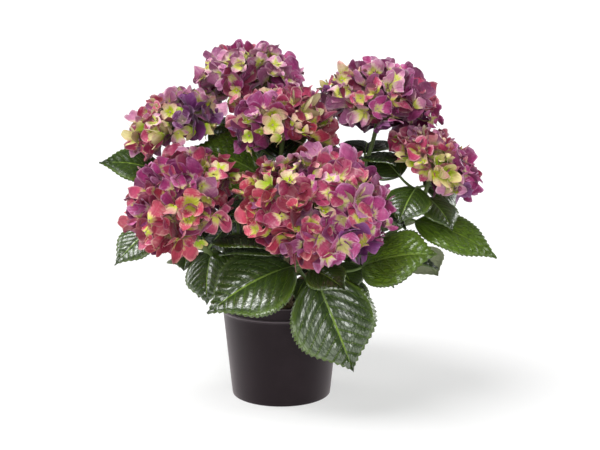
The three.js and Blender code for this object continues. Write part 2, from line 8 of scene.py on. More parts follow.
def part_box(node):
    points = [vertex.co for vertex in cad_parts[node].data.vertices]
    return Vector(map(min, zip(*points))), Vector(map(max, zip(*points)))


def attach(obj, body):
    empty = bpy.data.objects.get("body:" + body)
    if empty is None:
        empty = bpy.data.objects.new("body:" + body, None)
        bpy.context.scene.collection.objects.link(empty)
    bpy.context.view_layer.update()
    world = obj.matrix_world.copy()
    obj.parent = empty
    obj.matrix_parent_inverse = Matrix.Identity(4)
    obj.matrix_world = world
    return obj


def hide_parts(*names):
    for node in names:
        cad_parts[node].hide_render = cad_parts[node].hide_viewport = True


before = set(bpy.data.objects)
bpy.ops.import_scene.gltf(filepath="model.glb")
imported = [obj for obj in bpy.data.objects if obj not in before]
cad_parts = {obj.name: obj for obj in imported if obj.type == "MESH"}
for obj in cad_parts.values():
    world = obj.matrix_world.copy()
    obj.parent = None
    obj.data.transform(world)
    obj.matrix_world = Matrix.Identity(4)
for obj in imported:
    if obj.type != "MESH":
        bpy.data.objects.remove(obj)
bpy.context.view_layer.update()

# The nursery pot is one thin moulding of dark plastic with a purple cast. It tapers so that pots nest,
# is stiffened by a band under its rim, and stands on feet between channels that lead to its drain holes.

POT_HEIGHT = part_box("pot")[1][2]
POT_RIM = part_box("pot")[1][0]  # radius outside the rim
POT_NECK = 0.0686  # radius outside, under the band
POT_FOOT = 0.058
POT_BAND = 0.016
NECK_HEIGHT = POT_HEIGHT - POT_BAND
BEAD_HEIGHT = NECK_HEIGHT + 0.0009  # a fine ring round the foot of the band
POT_WALL = 0.0014
POT_FLOOR = 0.007
POT_SIDES = 120
CHANNELS = 6
CHANNEL_HEIGHT = 0.005
CHANNEL_HALF = 0.011  # half its width at its roof
CHANNEL_FLARE = 0.005
CHANNEL_END = 0.024  # from the axis
DRAIN_HOLE = 0.0045
DRAIN_AT = 0.033
PLASTIC = (0.0125, 0.0078, 0.0098)
PLASTIC_DUST = (0.03, 0.021, 0.025)
# A much lighter plastic for the bead and the lip: partly wear, and partly a painted highlight where these
# edges catch the light.
PLASTIC_WEAR_AND_HIGHLIGHT = (0.135, 0.112, 0.125)


class Term:
    """A value in a material. Arithmetic with it adds Math nodes."""

    def __init__(self, finish, socket):
        self.finish = finish
        self.socket = socket

    def maths(self, operation, *values):
        return self.finish.node("ShaderNodeMath", {"operation": operation}, dict(enumerate(values)))

    def __add__(self, other):
        return self.maths("ADD", self, other)

    def __sub__(self, other):
        return self.maths("SUBTRACT", self, other)

    def __rsub__(self, other):
        return self.maths("SUBTRACT", other, self)

    def __mul__(self, other):
        return self.maths("MULTIPLY", self, other)

    def __truediv__(self, other):
        return self.maths("DIVIDE", self, other)

    def __pow__(self, other):
        return self.maths("POWER", self, other)

    def __gt__(self, other):
        return self.maths("GREATER_THAN", self, other)

    def __abs__(self):
        return self.maths("ABSOLUTE", self)

    __radd__ = __add__
    __rmul__ = __mul__

    def or_more(self, other):
        return self.maths("MAXIMUM", self, other)

    def or_less(self, other):
        return self.maths("MINIMUM", self, other)

    def wave(self):
        return self.maths("SINE", self)

    def remainder(self):
        return self.maths("FRACT", self)

    def between(self, low, high):
        """0 below one value and 1 above the other, with an even rise; high may be the lower one."""
        ends = {"Value": self, "From Min": low, "From Max": high}
        return self.finish.node("ShaderNodeMapRange", {"interpolation_type": "SMOOTHSTEP"}, ends)


class Finish:
    """A material, put together node by node."""

    def __init__(self, name, plain, roughness):
        self.material = bpy.data.materials.new(name)
        self.material.use_nodes = True
        self.material.diffuse_color = (*plain, 1)
        self.tree = self.material.node_tree
        self.shader = self.tree.nodes["Principled BSDF"]
        self.wear(**{"Base Color": plain, "Roughness": roughness})

    def node(self, kind, settings, values, output=0):
        made = self.tree.nodes.new(kind)
        for name, setting in settings.items():
            setattr(made, name, setting)
        for name, value in values.items():
            self.feed(made.inputs[name], value)
        return Term(self, made.outputs[output])

    def feed(self, socket, value):
        if isinstance(value, Term):
            self.tree.links.new(value.socket, socket)
        elif socket.type == "RGBA" and len(value) == 3:
            socket.default_value = (*value, 1)
        else:
            socket.default_value = value

    def wear(self, **values):
        for name, value in values.items():
            self.feed(self.shader.inputs[name], value)

    def mix(self, factor, first, second):
        colours = {0: factor, 6: first, 7: second}
        return self.node("ShaderNodeMix", {"data_type": "RGBA"}, colours, output=2)

    def layers(self, colour, *layers):
        """A colour with others laid over it in turn, each by its share from 0 to 1."""
        for share, over in layers:
            colour = self.mix(share, colour, over)
        return colour

    def place(self):
        return self.node("ShaderNodeTexCoord", {}, {}, output="Object")

    def spot(self):
        """A place on the piece's own map."""
        return self.node("ShaderNodeUVMap", {"uv_map": "OFBake"}, {})

    def part(self, vector, axis):
        return self.node("ShaderNodeSeparateXYZ", {}, {"Vector": vector}, output=axis)

    def stretched(self, vector, by):
        return self.node("ShaderNodeVectorMath", {"operation": "MULTIPLY"}, {0: vector, 1: by})

    def grain(self, where, scale, detail=2.0):
        values = {"Vector": where, "Scale": scale, "Detail": detail}
        return self.node("ShaderNodeTexNoise", {}, values)

    def relief(self, height, depth):
        """Bumps of a height from 0 to 1, whose full depth is given in metres."""
        values = {"Strength": 1.0, "Distance": depth, "Height": height}
        self.wear(Normal=self.node("ShaderNodeBump", {}, values))


def added(name, data):
    """A thing in the scene that shows a mesh, a lamp or a camera."""
    thing = bpy.data.objects.new(name, data)
    bpy.context.scene.collection.objects.link(thing)
    return thing


class Gathering:
    """Sheets of four-cornered faces that are gathered into one mesh. A sheet may bring a spot on the
    finish's map for each corner of each face. Caps are faces of any number of corners."""

    def __init__(self):
        self.points = []
        self.faces = []
        self.spots = []
        self.caps = []
        self.count = 0

    def add(self, points, faces, spots=None):
        self.points.append(np.reshape(points, (-1, 3)))
        self.faces.append(faces + self.count)
        self.count += len(self.points[-1])
        if spots is not None:
            self.spots.append(np.reshape(spots, (-1, 2)))

    def mesh(self, name):
        mesh = bpy.data.meshes.new(name)
        faces = np.concatenate(self.faces).tolist() + self.caps
        mesh.from_pydata(np.concatenate(self.points).tolist(), [], faces)
        if self.spots:
            layer = mesh.uv_layers.new(name="OFBake")
            layer.uv.foreach_set("vector", np.concatenate(self.spots).astype(np.float32).ravel())
        mesh.shade_smooth()
        return mesh

    def piece(self, name, finish, slot, *stands_for):
        """The mesh as a piece of the plant, in its finish, in place of the nodes it stands for."""
        mesh = self.mesh(name)
        mesh.materials.append(finish.material)
        thing = added(name, mesh)
        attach(thing, "root")
        if stands_for:
            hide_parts(*stands_for)
        return thing


def net(rows, columns, around=False):
    """The faces of a grid of points, row by row, closed into a tube if it runs around."""
    row = np.arange(rows - 1)[:, None]
    column = np.arange(columns if around else columns - 1)[None, :]
    after = (column + 1) % columns
    corners = [row * columns + column, row * columns + after,
               (row + 1) * columns + after, (row + 1) * columns + column]
    return np.stack(corners, -1).reshape(-1, 4)


def turned(profile, sides):
    """Rings of points round the Z axis, one for each radius and height of a profile."""
    radius, height = np.array(profile).T
    angle = np.arange(sides) * 2 * math.pi / sides
    flat = radius[:, None, None] * np.stack([np.cos(angle), np.sin(angle)], -1)
    return np.concatenate([flat, np.broadcast_to(height[:, None, None], (*flat.shape[:2], 1))], -1)


def closed(rings):
    """A tube from rings of points, closed at both ends."""
    rows, columns = rings.shape[:2]
    body = Gathering()
    body.add(rings, net(rows, columns, around=True))
    body.caps = [list(range(columns))[::-1], list(range((rows - 1) * columns, rows * columns))]
    return body


def arc(middle, radius, start, end, steps=5):
    """Part of a circle in a profile, from one angle to another in degrees."""
    angle = np.radians(np.linspace(start, end, steps))
    return list(zip(middle[0] + radius * np.cos(angle), middle[1] + radius * np.sin(angle)))


def pot_side(height):
    """Radius outside the pot's wall, under its band."""
    return POT_FOOT + (POT_NECK - POT_FOOT) * height / NECK_HEIGHT


def pot_mesh():
    lip = POT_WALL / 2
    profile = [
        (0.01, 0),
        *arc((pot_side(0) - 0.0015, 0.0015), 0.0015, -90, 0),
        *((pot_side(share * NECK_HEIGHT), share * NECK_HEIGHT) for share in np.linspace(0.06, 0.97, 24)),
        (POT_NECK - 0.0001, NECK_HEIGHT - 0.0024),
        *arc((POT_RIM - 0.0004, NECK_HEIGHT + 0.0008), 0.0009, -50, 88),
        (POT_RIM - 0.0012, NECK_HEIGHT + 0.0019),
        (POT_RIM - 0.0009, POT_HEIGHT - 0.0026),
        *arc((POT_RIM - lip, POT_HEIGHT - lip), lip, 0, 180, 7),
        (POT_RIM - POT_WALL - 0.0004, NECK_HEIGHT + 0.002),
        (POT_NECK - POT_WALL, NECK_HEIGHT - 0.001),
        (pot_side(POT_FLOOR) - POT_WALL, POT_FLOOR + 0.0008),
        (pot_side(POT_FLOOR) - POT_WALL - 0.0008, POT_FLOOR),
        (0.01, POT_FLOOR),
    ]
    return closed(turned(profile, POT_SIDES))


def prism(name, section, start, end):
    """A closed bar of one section in X and Z, between two places along -Y."""
    count = len(section)
    points = [(x, -y, z) for y in (start, end) for x, z in section]
    faces = [tuple(range(count)), tuple(range(2 * count - 1, count - 1, -1))]
    faces += [(i, i + count, (i + 1) % count + count, (i + 1) % count) for i in range(count)]
    mesh = bpy.data.meshes.new(name)
    mesh.from_pydata(points, [], faces)
    return mesh


def cut(thing, tools):
    """Cuts the tools out of a thing, and removes them."""
    group = bpy.data.collections.new("cutters")
    bpy.context.scene.collection.children.link(group)
    for tool in tools:
        group.objects.link(tool)
    bite = thing.modifiers.new("channels", "BOOLEAN")
    bite.operation = "DIFFERENCE"
    bite.operand_type = "COLLECTION"
    bite.collection = group
    bite.solver = "EXACT"
    held = bpy.context.evaluated_depsgraph_get()
    mesh = bpy.data.meshes.new_from_object(thing.evaluated_get(held))
    thing.modifiers.remove(bite)
    thing.data = mesh
    for tool in tools:
        bpy.data.objects.remove(tool)
    bpy.data.collections.remove(group)


pot_finish = Finish("pot plastic", PLASTIC, 0.5)
place = pot_finish.place()
blotches = pot_finish.grain(place, 18.0, 3.0).between(0.42, 0.75)
speck = pot_finish.grain(place, 900.0)
height = pot_finish.part(place, "Z")
# Thin lines at the bead and at the lip lighten the plastic: partly wear, and partly a painted highlight.
bead_wear_and_highlight = abs(height - BEAD_HEIGHT).between(0.0013, 0.0005)
lip = height.between(POT_HEIGHT - 0.0014, POT_HEIGHT - 0.0005)
pot_finish.wear(**{
    "Base Color": pot_finish.layers(
        PLASTIC,
        (blotches * 0.35, PLASTIC_DUST),
        ((bead_wear_and_highlight + lip) * 0.8, PLASTIC_WEAR_AND_HIGHLIGHT),
    ),
    "Roughness": 0.42 + 0.1 * blotches + 0.06 * speck,
    "Specular IOR Level": 0.12,
    "Specular Tint": (1.0, 0.9, 0.94),
    "Sheen Weight": 0.3,
    "Sheen Roughness": 0.45,
    "Sheen Tint": (1.0, 0.88, 0.92),
})
pot_finish.relief(speck, 0.00006)
pot_piece = pot_mesh().piece("pot_moulding", pot_finish, "pot", "pot")

channel = [
    (-CHANNEL_HALF - CHANNEL_FLARE, -0.001),
    (CHANNEL_HALF + CHANNEL_FLARE, -0.001),
    (CHANNEL_HALF, CHANNEL_HEIGHT),
    (-CHANNEL_HALF, CHANNEL_HEIGHT),
]
hole_turns = np.arange(24) * math.pi / 12
round_hole = [(DRAIN_HOLE * math.cos(turn), DRAIN_HOLE * math.sin(turn)) for turn in hole_turns]
cutters = []
for i in range(CHANNELS):
    turn = 2 * math.pi * i / CHANNELS
    bar = bpy.data.objects.new("channel", prism("channel", channel, CHANNEL_END, POT_RIM))
    bar.rotation_euler.z = turn
    drill = bpy.data.objects.new("drill", prism("drill", round_hole, -0.01, -0.001))
    drill.rotation_euler = (math.pi / 2, 0, 0)
    drill.location = (DRAIN_AT * math.sin(turn), -DRAIN_AT * math.cos(turn), 0)
    cutters += [bar, drill]
cut(pot_piece, cutters)
pot_piece.data.shade_smooth()
pot_piece.data.set_sharp_from_angle(angle=math.radians(38))

# The compost is a damp mix of fine bark and peat that fills the pot to a finger's breadth under the rim.
# It is rougher than it is level, with chips of bark lying loose on it.

SOIL_EDGE = 0.1042  # height at the pot's wall
SOIL_CROWN = 0.107  # height round the foot of the bush
SOIL_FLAT = 0.022  # radius of that
SOIL_GAP = 0.0004
CHIPS = 420
CHIPS_FROM = 0.021  # from the axis
CHIP_GIRTHS = ((-1, 0.35), (-0.5, 0.95), (0.45, 1.0), (1, 0.25))  # how stout it is on its way along
CHIP_SECTION = ((-1, -1), (1, -0.8), (0.9, 1), (-0.8, 0.7))
PEAT = (0.03, 0.018, 0.011)
BARK_CHIP = (0.115, 0.062, 0.034)


def seeded(seed):
    """Numbers from 0 to 1 that come out the same on every run."""
    state = (seed * 7919 + 12345) % 2147483647
    while True:
        state = state * 16807 % 2147483647
        yield state / 2147483647


def draws(random, *shape):
    return np.array([next(random) for _ in range(math.prod(shape))]).reshape(shape)


def rough(points, scale, seed=0.0):
    """A soft unevenness of about -1 to 1 at each point, with lumps 1 / scale across."""
    flat = np.reshape(points, (-1, 3)) * scale + seed
    return np.array([noise.noise(Vector(p)) for p in flat]).reshape(np.shape(points)[:-1])


def mottled(name, plain, patch, roughness, scale, detail, spread, depth):
    """A finish of one colour with patches of another, laid by a grain that also stands out a little."""
    finish = Finish(name, plain, roughness)
    grain = finish.grain(finish.place(), scale, detail)
    finish.wear(**{"Base Color": finish.mix(grain.between(*spread), plain, patch)})
    finish.relief(grain, depth)
    return finish


def soil_level(radius):
    share = (radius - SOIL_FLAT) / (POT_NECK - SOIL_FLAT)
    return SOIL_CROWN - (SOIL_CROWN - SOIL_EDGE) * np.clip(share, 0, 1)


def inside_pot(height):
    return pot_side(height) - POT_WALL - SOIL_GAP


soil_radii = np.linspace(0.001, inside_pot(SOIL_EDGE) - 0.0015, 40)
soil_profile = [(r, soil_level(r)) for r in soil_radii]
soil_profile += [(inside_pot(SOIL_EDGE - 0.003), SOIL_EDGE - 0.003)]
soil_profile += [(inside_pot(POT_FLOOR), POT_FLOOR + SOIL_GAP), (0.001, POT_FLOOR + SOIL_GAP)]
soil_points = turned(soil_profile[::-1], 110)
top = soil_points[3:]
top[..., 2] += 0.0011 * rough(top, 160) + 0.0007 * rough(top, 420)
soil_finish = mottled("compost", PEAT, BARK_CHIP, 0.95, 420.0, 6.0, (0.45, 0.7), 0.0012)
closed(soil_points).piece("compost", soil_finish, "soil", "soil")

chips = Gathering()
random = seeded(41)
for _ in range(CHIPS):
    out, turn, spin, long, wide, tip = draws(random, 6)
    out = CHIPS_FROM + (inside_pot(SOIL_EDGE) - 0.006 - CHIPS_FROM) * math.sqrt(out)
    turn, spin = 2 * math.pi * turn, 2 * math.pi * spin
    size = np.array([0.0012 + 0.003 * long, 0.0007 + 0.0014 * wide, 0.0005])
    ahead = np.array([math.cos(spin), math.sin(spin), 0.5 * (tip - 0.5)])
    across = np.array([-math.sin(spin), math.cos(spin), 0.4 * (wide - 0.5)])
    middle = np.array([out * math.cos(turn), out * math.sin(turn), soil_level(out) + 0.0009])
    rings = []
    for along, girth in CHIP_GIRTHS:
        rings.append([middle + ahead * size[0] * along + across * size[1] * girth * u
                      + np.array([0, 0, size[2] * girth * v]) for u, v in CHIP_SECTION])
    chips.add(rings, np.concatenate([net(4, 4, around=True), [[3, 2, 1, 0], [12, 13, 14, 15]]]))
chip_finish = mottled("bark chips", BARK_CHIP, PEAT, 0.9, 700.0, 4.0, (0.65, 0.35), 0.0003)
chips.piece("bark_chips", chip_finish, "soil", "soil")

# The bush stands on a knuckle of old wood, and its canes arch out of that. Young canes are green with
# corky specks, brown and ridged towards the foot, and thicken where a pair of leaves joins them.

CROWN_FOOT = 0.1073  # height of its flat underside
CROWN_CENTRE = 0.12
CROWN_RADIUS = 0.015
CROWN_FLARE = 0.018
CROWN_WAIST = 0.0125
CANE_ROOT = 0.0034  # radius
CANE_TIP = 0.0024
CANE_SIDES = 14
CANE_STEP = 0.0022  # between rings
CANE_GAP = 0.0004  # the line of a cane starts this far off the crown
KNOT_RISE = 0.42  # how much thicker a cane is at a pair of leaves
KNOT_REACH = 0.0022
HEAD_BELOW = 0.1  # where a cane ends, under the middle of its head, of the head's radius
BARK = (0.155, 0.098, 0.056)
BARK_LIGHT = (0.3, 0.225, 0.15)
CANE_GREEN = (0.105, 0.155, 0.038)
CANE_SPECK = (0.23, 0.15, 0.09)

# Where each stem leaves the crown (heading and rise), where its head or tip is, how it leans there
# (heading and angle off upright), and for a head its radius, its tilt and its share of the usual height.
# Headings are degrees seen from above, 0 to the right and -90 to the front.
STEMS = {
    "front": dict(
        root=(-72, 38), end=(0.039, -0.113, 0.246), lean=(-70, 6), radius=0.088, tilt=(-78, 27), squat=0.8),
    "left": dict(
        root=(-140, 36), end=(-0.104, -0.09, 0.246), lean=(-140, 10), radius=0.071, tilt=(-138, 38)),
    "upper_left": dict(
        root=(178, 52), end=(-0.12, -0.01, 0.32), lean=(178, 12), radius=0.058, tilt=(-165, 26),
        squat=0.84),
    "top": dict(root=(112, 70), end=(-0.038, 0.04, 0.358), lean=(150, 4), radius=0.068, tilt=(130, 8)),
    "middle": dict(root=(-62, 68), end=(0.005, -0.04, 0.319), lean=(-65, 24), radius=0.061, tilt=(-65, 26)),
    "upper_right": dict(
        root=(26, 68), end=(0.114, 0.025, 0.334), lean=(30, 5), radius=0.073, tilt=(20, 16)),
    "right": dict(
        root=(-4, 38), end=(0.175, -0.02, 0.28), lean=(-10, 4), radius=0.062, tilt=(-14, 34), squat=0.58),
    "back_left": dict(
        root=(128, 42), end=(-0.074, 0.118, 0.226), lean=(122, 8), radius=0.054, tilt=(122, 34)),
    "back_right": dict(root=(66, 42), end=(0.05, 0.128, 0.218), lean=(70, 8), radius=0.054, tilt=(70, 36)),
    "low_left": dict(root=(-172, 18), end=(-0.092, -0.016, 0.186), lean=(-170, 30)),
    "low_right": dict(root=(-30, 16), end=(0.098, -0.018, 0.182), lean=(-10, 30)),
    "low_back": dict(root=(98, 12), end=(-0.012, 0.092, 0.176), lean=(96, 30)),
    "low_right_back": dict(root=(28, 14), end=(0.084, 0.058, 0.19), lean=(34, 30)),
}


def towards(heading, rise):
    """A direction from its heading and rise in degrees."""
    heading, rise = math.radians(heading), math.radians(rise)
    flat = math.cos(rise)
    return np.array([flat * math.cos(heading), flat * math.sin(heading), math.sin(rise)])


def leaning(lean):
    return towards(lean[0], 90 - lean[1])


def unit(vectors):
    return vectors / np.linalg.norm(vectors, axis=-1, keepdims=True)


class Line:
    """A smooth curve through a Bezier's four points, read by share of its length."""

    def __init__(self, *points):
        self.points = np.array(points)
        self.steps = np.linspace(0, 1, 201)
        run = np.linalg.norm(np.diff(self.bend(self.steps), axis=0), axis=1)
        self.travelled = np.concatenate([[0], np.cumsum(run)])
        self.length = self.travelled[-1]

    def bend(self, step):
        step = np.asarray(step)[..., None]
        a, b, c, d = self.points
        rest = 1 - step
        return rest**3 * a + 3 * rest**2 * step * b + 3 * rest * step**2 * c + step**3 * d

    def step(self, share):
        return np.interp(np.asarray(share) * self.length, self.travelled, self.steps)

    def at(self, share):
        return self.bend(self.step(share))

    def ahead(self, share):
        step = self.step(share)
        return unit(self.bend(np.minimum(step + 1e-4, 1)) - self.bend(np.maximum(step - 1e-4, 0)))


def stem_line(stem):
    out = towards(*stem["root"])
    start = out * (CROWN_RADIUS + CANE_GAP) + (0, 0, CROWN_CENTRE)
    end = np.array(stem["end"])
    if "radius" in stem:
        end = end - leaning(stem["tilt"]) * HEAD_BELOW * stem["radius"]
    reach = 0.42 * np.linalg.norm(end - start)
    return Line(start, start + out * reach, end - leaning(stem["lean"]) * reach, end)


def circling(angle, one, two):
    """Directions at an angle from one, towards two."""
    return np.cos(angle) * one + np.sin(angle) * two


def tube(centres, radii, sides):
    """Rings of points along a row of centres."""
    side = np.array([0.31, 0.92, 0.24])
    angle = np.arange(sides)[:, None] * 2 * math.pi / sides
    rings = []
    for centre, along, radius in zip(centres, unit(np.gradient(centres, axis=0)), radii):
        side = unit(side - along * (side @ along))
        rings.append(centre + radius * circling(angle, side, np.cross(along, side)))
    return np.array(rings)


def wrapped(rows, columns):
    """Spots on a finish's map for a tube: round it to the right, along it upwards."""
    u = np.arange(columns + 1) / columns
    v = np.linspace(0, 1, rows)
    spots = np.stack(np.meshgrid(u, v), -1)
    corners = [spots[:-1, :-1], spots[:-1, 1:], spots[1:, 1:], spots[1:, :-1]]
    return np.stack(corners, 2).reshape(-1, 2)


lines = {name: stem_line(stem) for name, stem in STEMS.items()}

crown_profile = [
    (0.001, CROWN_FOOT),
    (CROWN_FLARE, CROWN_FOOT),
    (CROWN_FLARE - 0.0025, 0.1088),
    (CROWN_WAIST, 0.1113),
]
crown_profile += arc((0, CROWN_CENTRE), CROWN_RADIUS, -32, 88, 22)
crown_points = turned(crown_profile, 72)
crown_off = unit(crown_points - (0, 0, CROWN_CENTRE - 0.004))
crown_lumps = 0.0011 * rough(crown_points, 150) + 0.0006 * rough(crown_points, 480)
crown_lumps *= crown_points[..., 2] > CROWN_FOOT + 0.0002
crown_points = crown_points + crown_off * crown_lumps[..., None]
crown_finish = mottled("old bark", BARK, BARK_LIGHT, 0.88, 260.0, 5.0, (0.4, 0.68), 0.0012)
closed(crown_points).piece("old_wood", crown_finish, "crown", "crown")

cane_finish = Finish("cane bark", CANE_GREEN, 0.62)
height = cane_finish.part(cane_finish.spot(), "Y")
place = cane_finish.place()
streaks = cane_finish.grain(place, 240.0, 4.0)
specks = cane_finish.grain(place, 900.0, 1.0).between(0.63, 0.72)
woody = (height + 0.25 * streaks).between(0.5, 0.2)
old_skin = cane_finish.mix(streaks.between(0.4, 0.65), BARK, BARK_LIGHT)
cane_finish.wear(**{
    "Base Color": cane_finish.layers(CANE_GREEN, (woody, old_skin), (specks * 0.6, CANE_SPECK)),
    "Roughness": 0.55 + 0.3 * woody,
})
cane_finish.relief(streaks + specks, 0.0004)

# Leaves grow in opposite pairs, each on a stout grooved stalk: broad, toothed, waxy and dark above, paler
# beneath, and quilted between sunken veins that leave the midrib in arcs. Old ones are the darkest, and the
# darkest green, which the leaves deep in the bush take, is partly painted shade.

STALK_SHARE = 0.2  # of the blade's length
STALK_RADIUS = 0.0017
STALK_LIFT = 40  # degrees that a stalk rises more steeply than its blade
STALK_STEEPEST = 62
LEAFY = np.arange(0.4, 0.895, 0.02)  # where on a stem a placed leaf may join it
BLADE_WIDTH = 0.76  # of the length
BLADE_BEND = math.radians(42)
BLADE_FOLD = 0.2
BLADE_CURL = 0.26
BLADE_COLUMNS = 25
BLADE_THICK = 0.0005
TEETH = 0.017  # height of the marginal teeth, of the blade's length
QUILT = 0.025  # height of the blisters between veins, of the blade's length
VEINS = 8.5  # side veins on a blade's length
LEAF_CLEAR = 0.0062  # least room to the leaves before it
STEM_CLEAR = 0.0076
RIM_CLEAR = 0.004
HEAD_CLEAR = 1.015  # least depth in a head's outline
OWN_CLEAR = 0.34  # the share of a blade that may be near its own stem
FEELER_ROWS = 16  # of points on a blade that feel for room
FEELER_HALF = 5  # of these in a row on each side of the midrib
SWING = 7  # degrees in one step of swinging a leaf aside
HEAD_RISE = 0.8  # of the radius, from a head's middle to its top
HEAD_DROP = 0.56


def aimed(base, tip, width, face, tone=1):
    return dict(base=base, tip=tip, width=width, face=face, tone=tone)


def pair(at, heading, *leaves):
    """Leaves on opposite sides of a stem, at a share of its length. Each has a rise and a length."""
    return [dict(at=at, heading=heading + 180 * k, rise=rise, length=length, face=(0, 90), tone=0)
            for k, (rise, length) in enumerate(leaves)]


LEAVES = {
    "front": [
        aimed((0.039, -0.112, 0.169), (0.081, -0.128, 0.065), 0.094, (-88, 20)),
        aimed((0.015, -0.1, 0.178), (-0.078, -0.138, 0.133), 0.096, (-110, 50)),
        aimed((0.034, -0.122, 0.179), (0.071, -0.16, 0.165), 0.046, (-80, 50)),
        aimed((0.028, -0.056, 0.151), (0.017, -0.086, 0.136), 0.04, (-90, 50)),
        aimed((0.091, -0.078, 0.171), (0.173, -0.12, 0.195), 0.084, (-80, 52), 2),
        *pair(0.56, 6, (-20, 0.084), (-14, 0.084)),
    ],
    "left": [
        aimed((-0.076, -0.06, 0.187), (-0.081, -0.095, 0.132), 0.06, (-120, 20)),
        aimed((-0.022, -0.042, 0.194), (-0.061, -0.074, 0.164), 0.06, (-90, 40)),
        *pair(0.54, 140, (4, 0.09)),
        *pair(0.66, -40, (-6, 0.084), (4, 0.08)),
    ],
    "upper_left": [
        aimed((-0.134, -0.006, 0.266), (-0.201, -0.038, 0.291), 0.064, (-100, 60), 3),
        aimed((-0.06, 0.034, 0.3), (-0.083, 0.03, 0.334), 0.044, (-90, 30)),
        *pair(0.5, -172, (-10, 0.09), (8, 0.084)),
        *pair(0.66, 110, (4, 0.092), (6, 0.084)),
        *pair(0.78, 150, (-4, 0.084), (-2, 0.07)),
    ],
    "top": [
        # This leaf takes the paler green of tone 2 as painted light, where it lies in the shade of the
        # heads.
        aimed((-0.021, 0.01, 0.257), (-0.099, -0.012, 0.297), 0.078, (-80, 40), 2),
        *pair(0.5, 122, (0, 0.104), (4, 0.09)),
        *pair(0.64, 34, (10, 0.1), (14, 0.092)),
        *pair(0.76, 128, (4, 0.084), (2, 0.08)),
    ],
    "middle": [
        aimed((0.036, -0.014, 0.272), (0.078, -0.008, 0.29), 0.048, (-80, 40)),
        *pair(0.5, 30, (6, 0.08), (0, 0.076)),
        *pair(0.62, 44, (4, 0.092), (-4, 0.084)),
        *pair(0.74, 128, (8, 0.084), (-6, 0.076)),
    ],
    "upper_right": [
        aimed((0.094, -0.01, 0.269), (0.058, -0.014, 0.297), 0.052, (-90, 30)),
        *pair(0.54, 100, (2, 0.096), (0, 0.088)),
        *pair(0.66, 20, (-8, 0.088), (-14, 0.066)),
        *pair(0.74, 84, (-4, 0.088), (0, 0.06)),
    ],
    "right": [
        aimed((0.155, -0.014, 0.211), (0.246, -0.044, 0.172), 0.066, (-70, 60), 2),
        aimed((0.155, -0.026, 0.252), (0.132, -0.07, 0.219), 0.054, (-100, 45)),
        aimed((0.168, -0.012, 0.238), (0.195, -0.044, 0.205), 0.052, (-50, 40)),
        aimed((0.166, 0.008, 0.247), (0.211, 0.044, 0.23), 0.054, (-50, 45)),
        aimed((0.148, 0.012, 0.259), (0.134, 0.042, 0.279), 0.05, (-100, 30)),
        *pair(0.6, 100, (-20, 0.096)),
    ],
    "back_left": [
        *pair(0.6, 40, (-18, 0.1), (-10, 0.096)),
        *pair(0.7, 128, (-24, 0.096), (4, 0.08)),
    ],
    "back_right": [
        *pair(0.6, -14, (-12, 0.1), (-16, 0.096)),
        *pair(0.7, 78, (-24, 0.096), (4, 0.08)),
    ],
    "low_left": [
        aimed((-0.139, -0.03, 0.208), (-0.187, -0.06, 0.168), 0.05, (-110, 50)),
        aimed((-0.105, -0.02, 0.177), (-0.111, -0.04, 0.157), 0.034, (-110, 40)),
        *pair(0.66, 122, (-20, 0.09)),
        *pair(0.92, 150, (-8, 0.084), (10, 0.07)),
    ],
    "low_right": [
        aimed((0.155, 0.02, 0.168), (0.188, 0.036, 0.132), 0.05, (84, 24)),
        aimed((0.065, -0.04, 0.167), (0.084, -0.074, 0.14), 0.048, (-80, 50)),
        *pair(0.6, 104, (-24, 0.092), (-40, 0.06)),
        *pair(0.92, 14, (-8, 0.08), (12, 0.07)),
    ],
    "low_back": [
        *pair(0.7, 22, (-30, 0.092), (-30, 0.092)),
        *pair(0.94, 98, (-40, 0.092), (14, 0.06)),
    ],
    "low_right_back": [
        *pair(0.66, 130, (-34, 0.094), (-10, 0.08)),
        *pair(0.93, 40, (-24, 0.092), (12, 0.06)),
    ],
}


def smooth(value, low, high):
    """The rise of a value from 0 to 1 between two others, as a term or in numbers."""
    if isinstance(value, Term):
        return value.between(low, high)
    share = np.clip((value - low) / (high - low), 0, 1)
    return share * share * (3 - 2 * share)


def sine(value):
    return value.wave() if isinstance(value, Term) else np.sin(value)


def half_width(along):
    """Half a blade's width, of its greatest: round at the base, drawn out at the tip."""
    power = 0.72 + 0.5 * smooth(along, 0.55, 1)
    return sine(math.pi * along**0.86) ** power * (1 - 0.3 * smooth(along, 0.6, 1))


def vein_count(along, across):
    """Side veins passed from the base to here. Each leaves the midrib and bends towards the tip."""
    out = abs(across) * half_width(along) * BLADE_WIDTH / 2
    return (along - 0.62 * out - 1.1 * out * out) * VEINS


def swung(vector, turned, raised):
    length = np.linalg.norm(vector)
    heading = math.degrees(math.atan2(vector[1], vector[0]))
    rise = math.degrees(math.asin(vector[2] / length))
    return towards(heading + turned, min(max(rise + raised, -85), 85)) * length


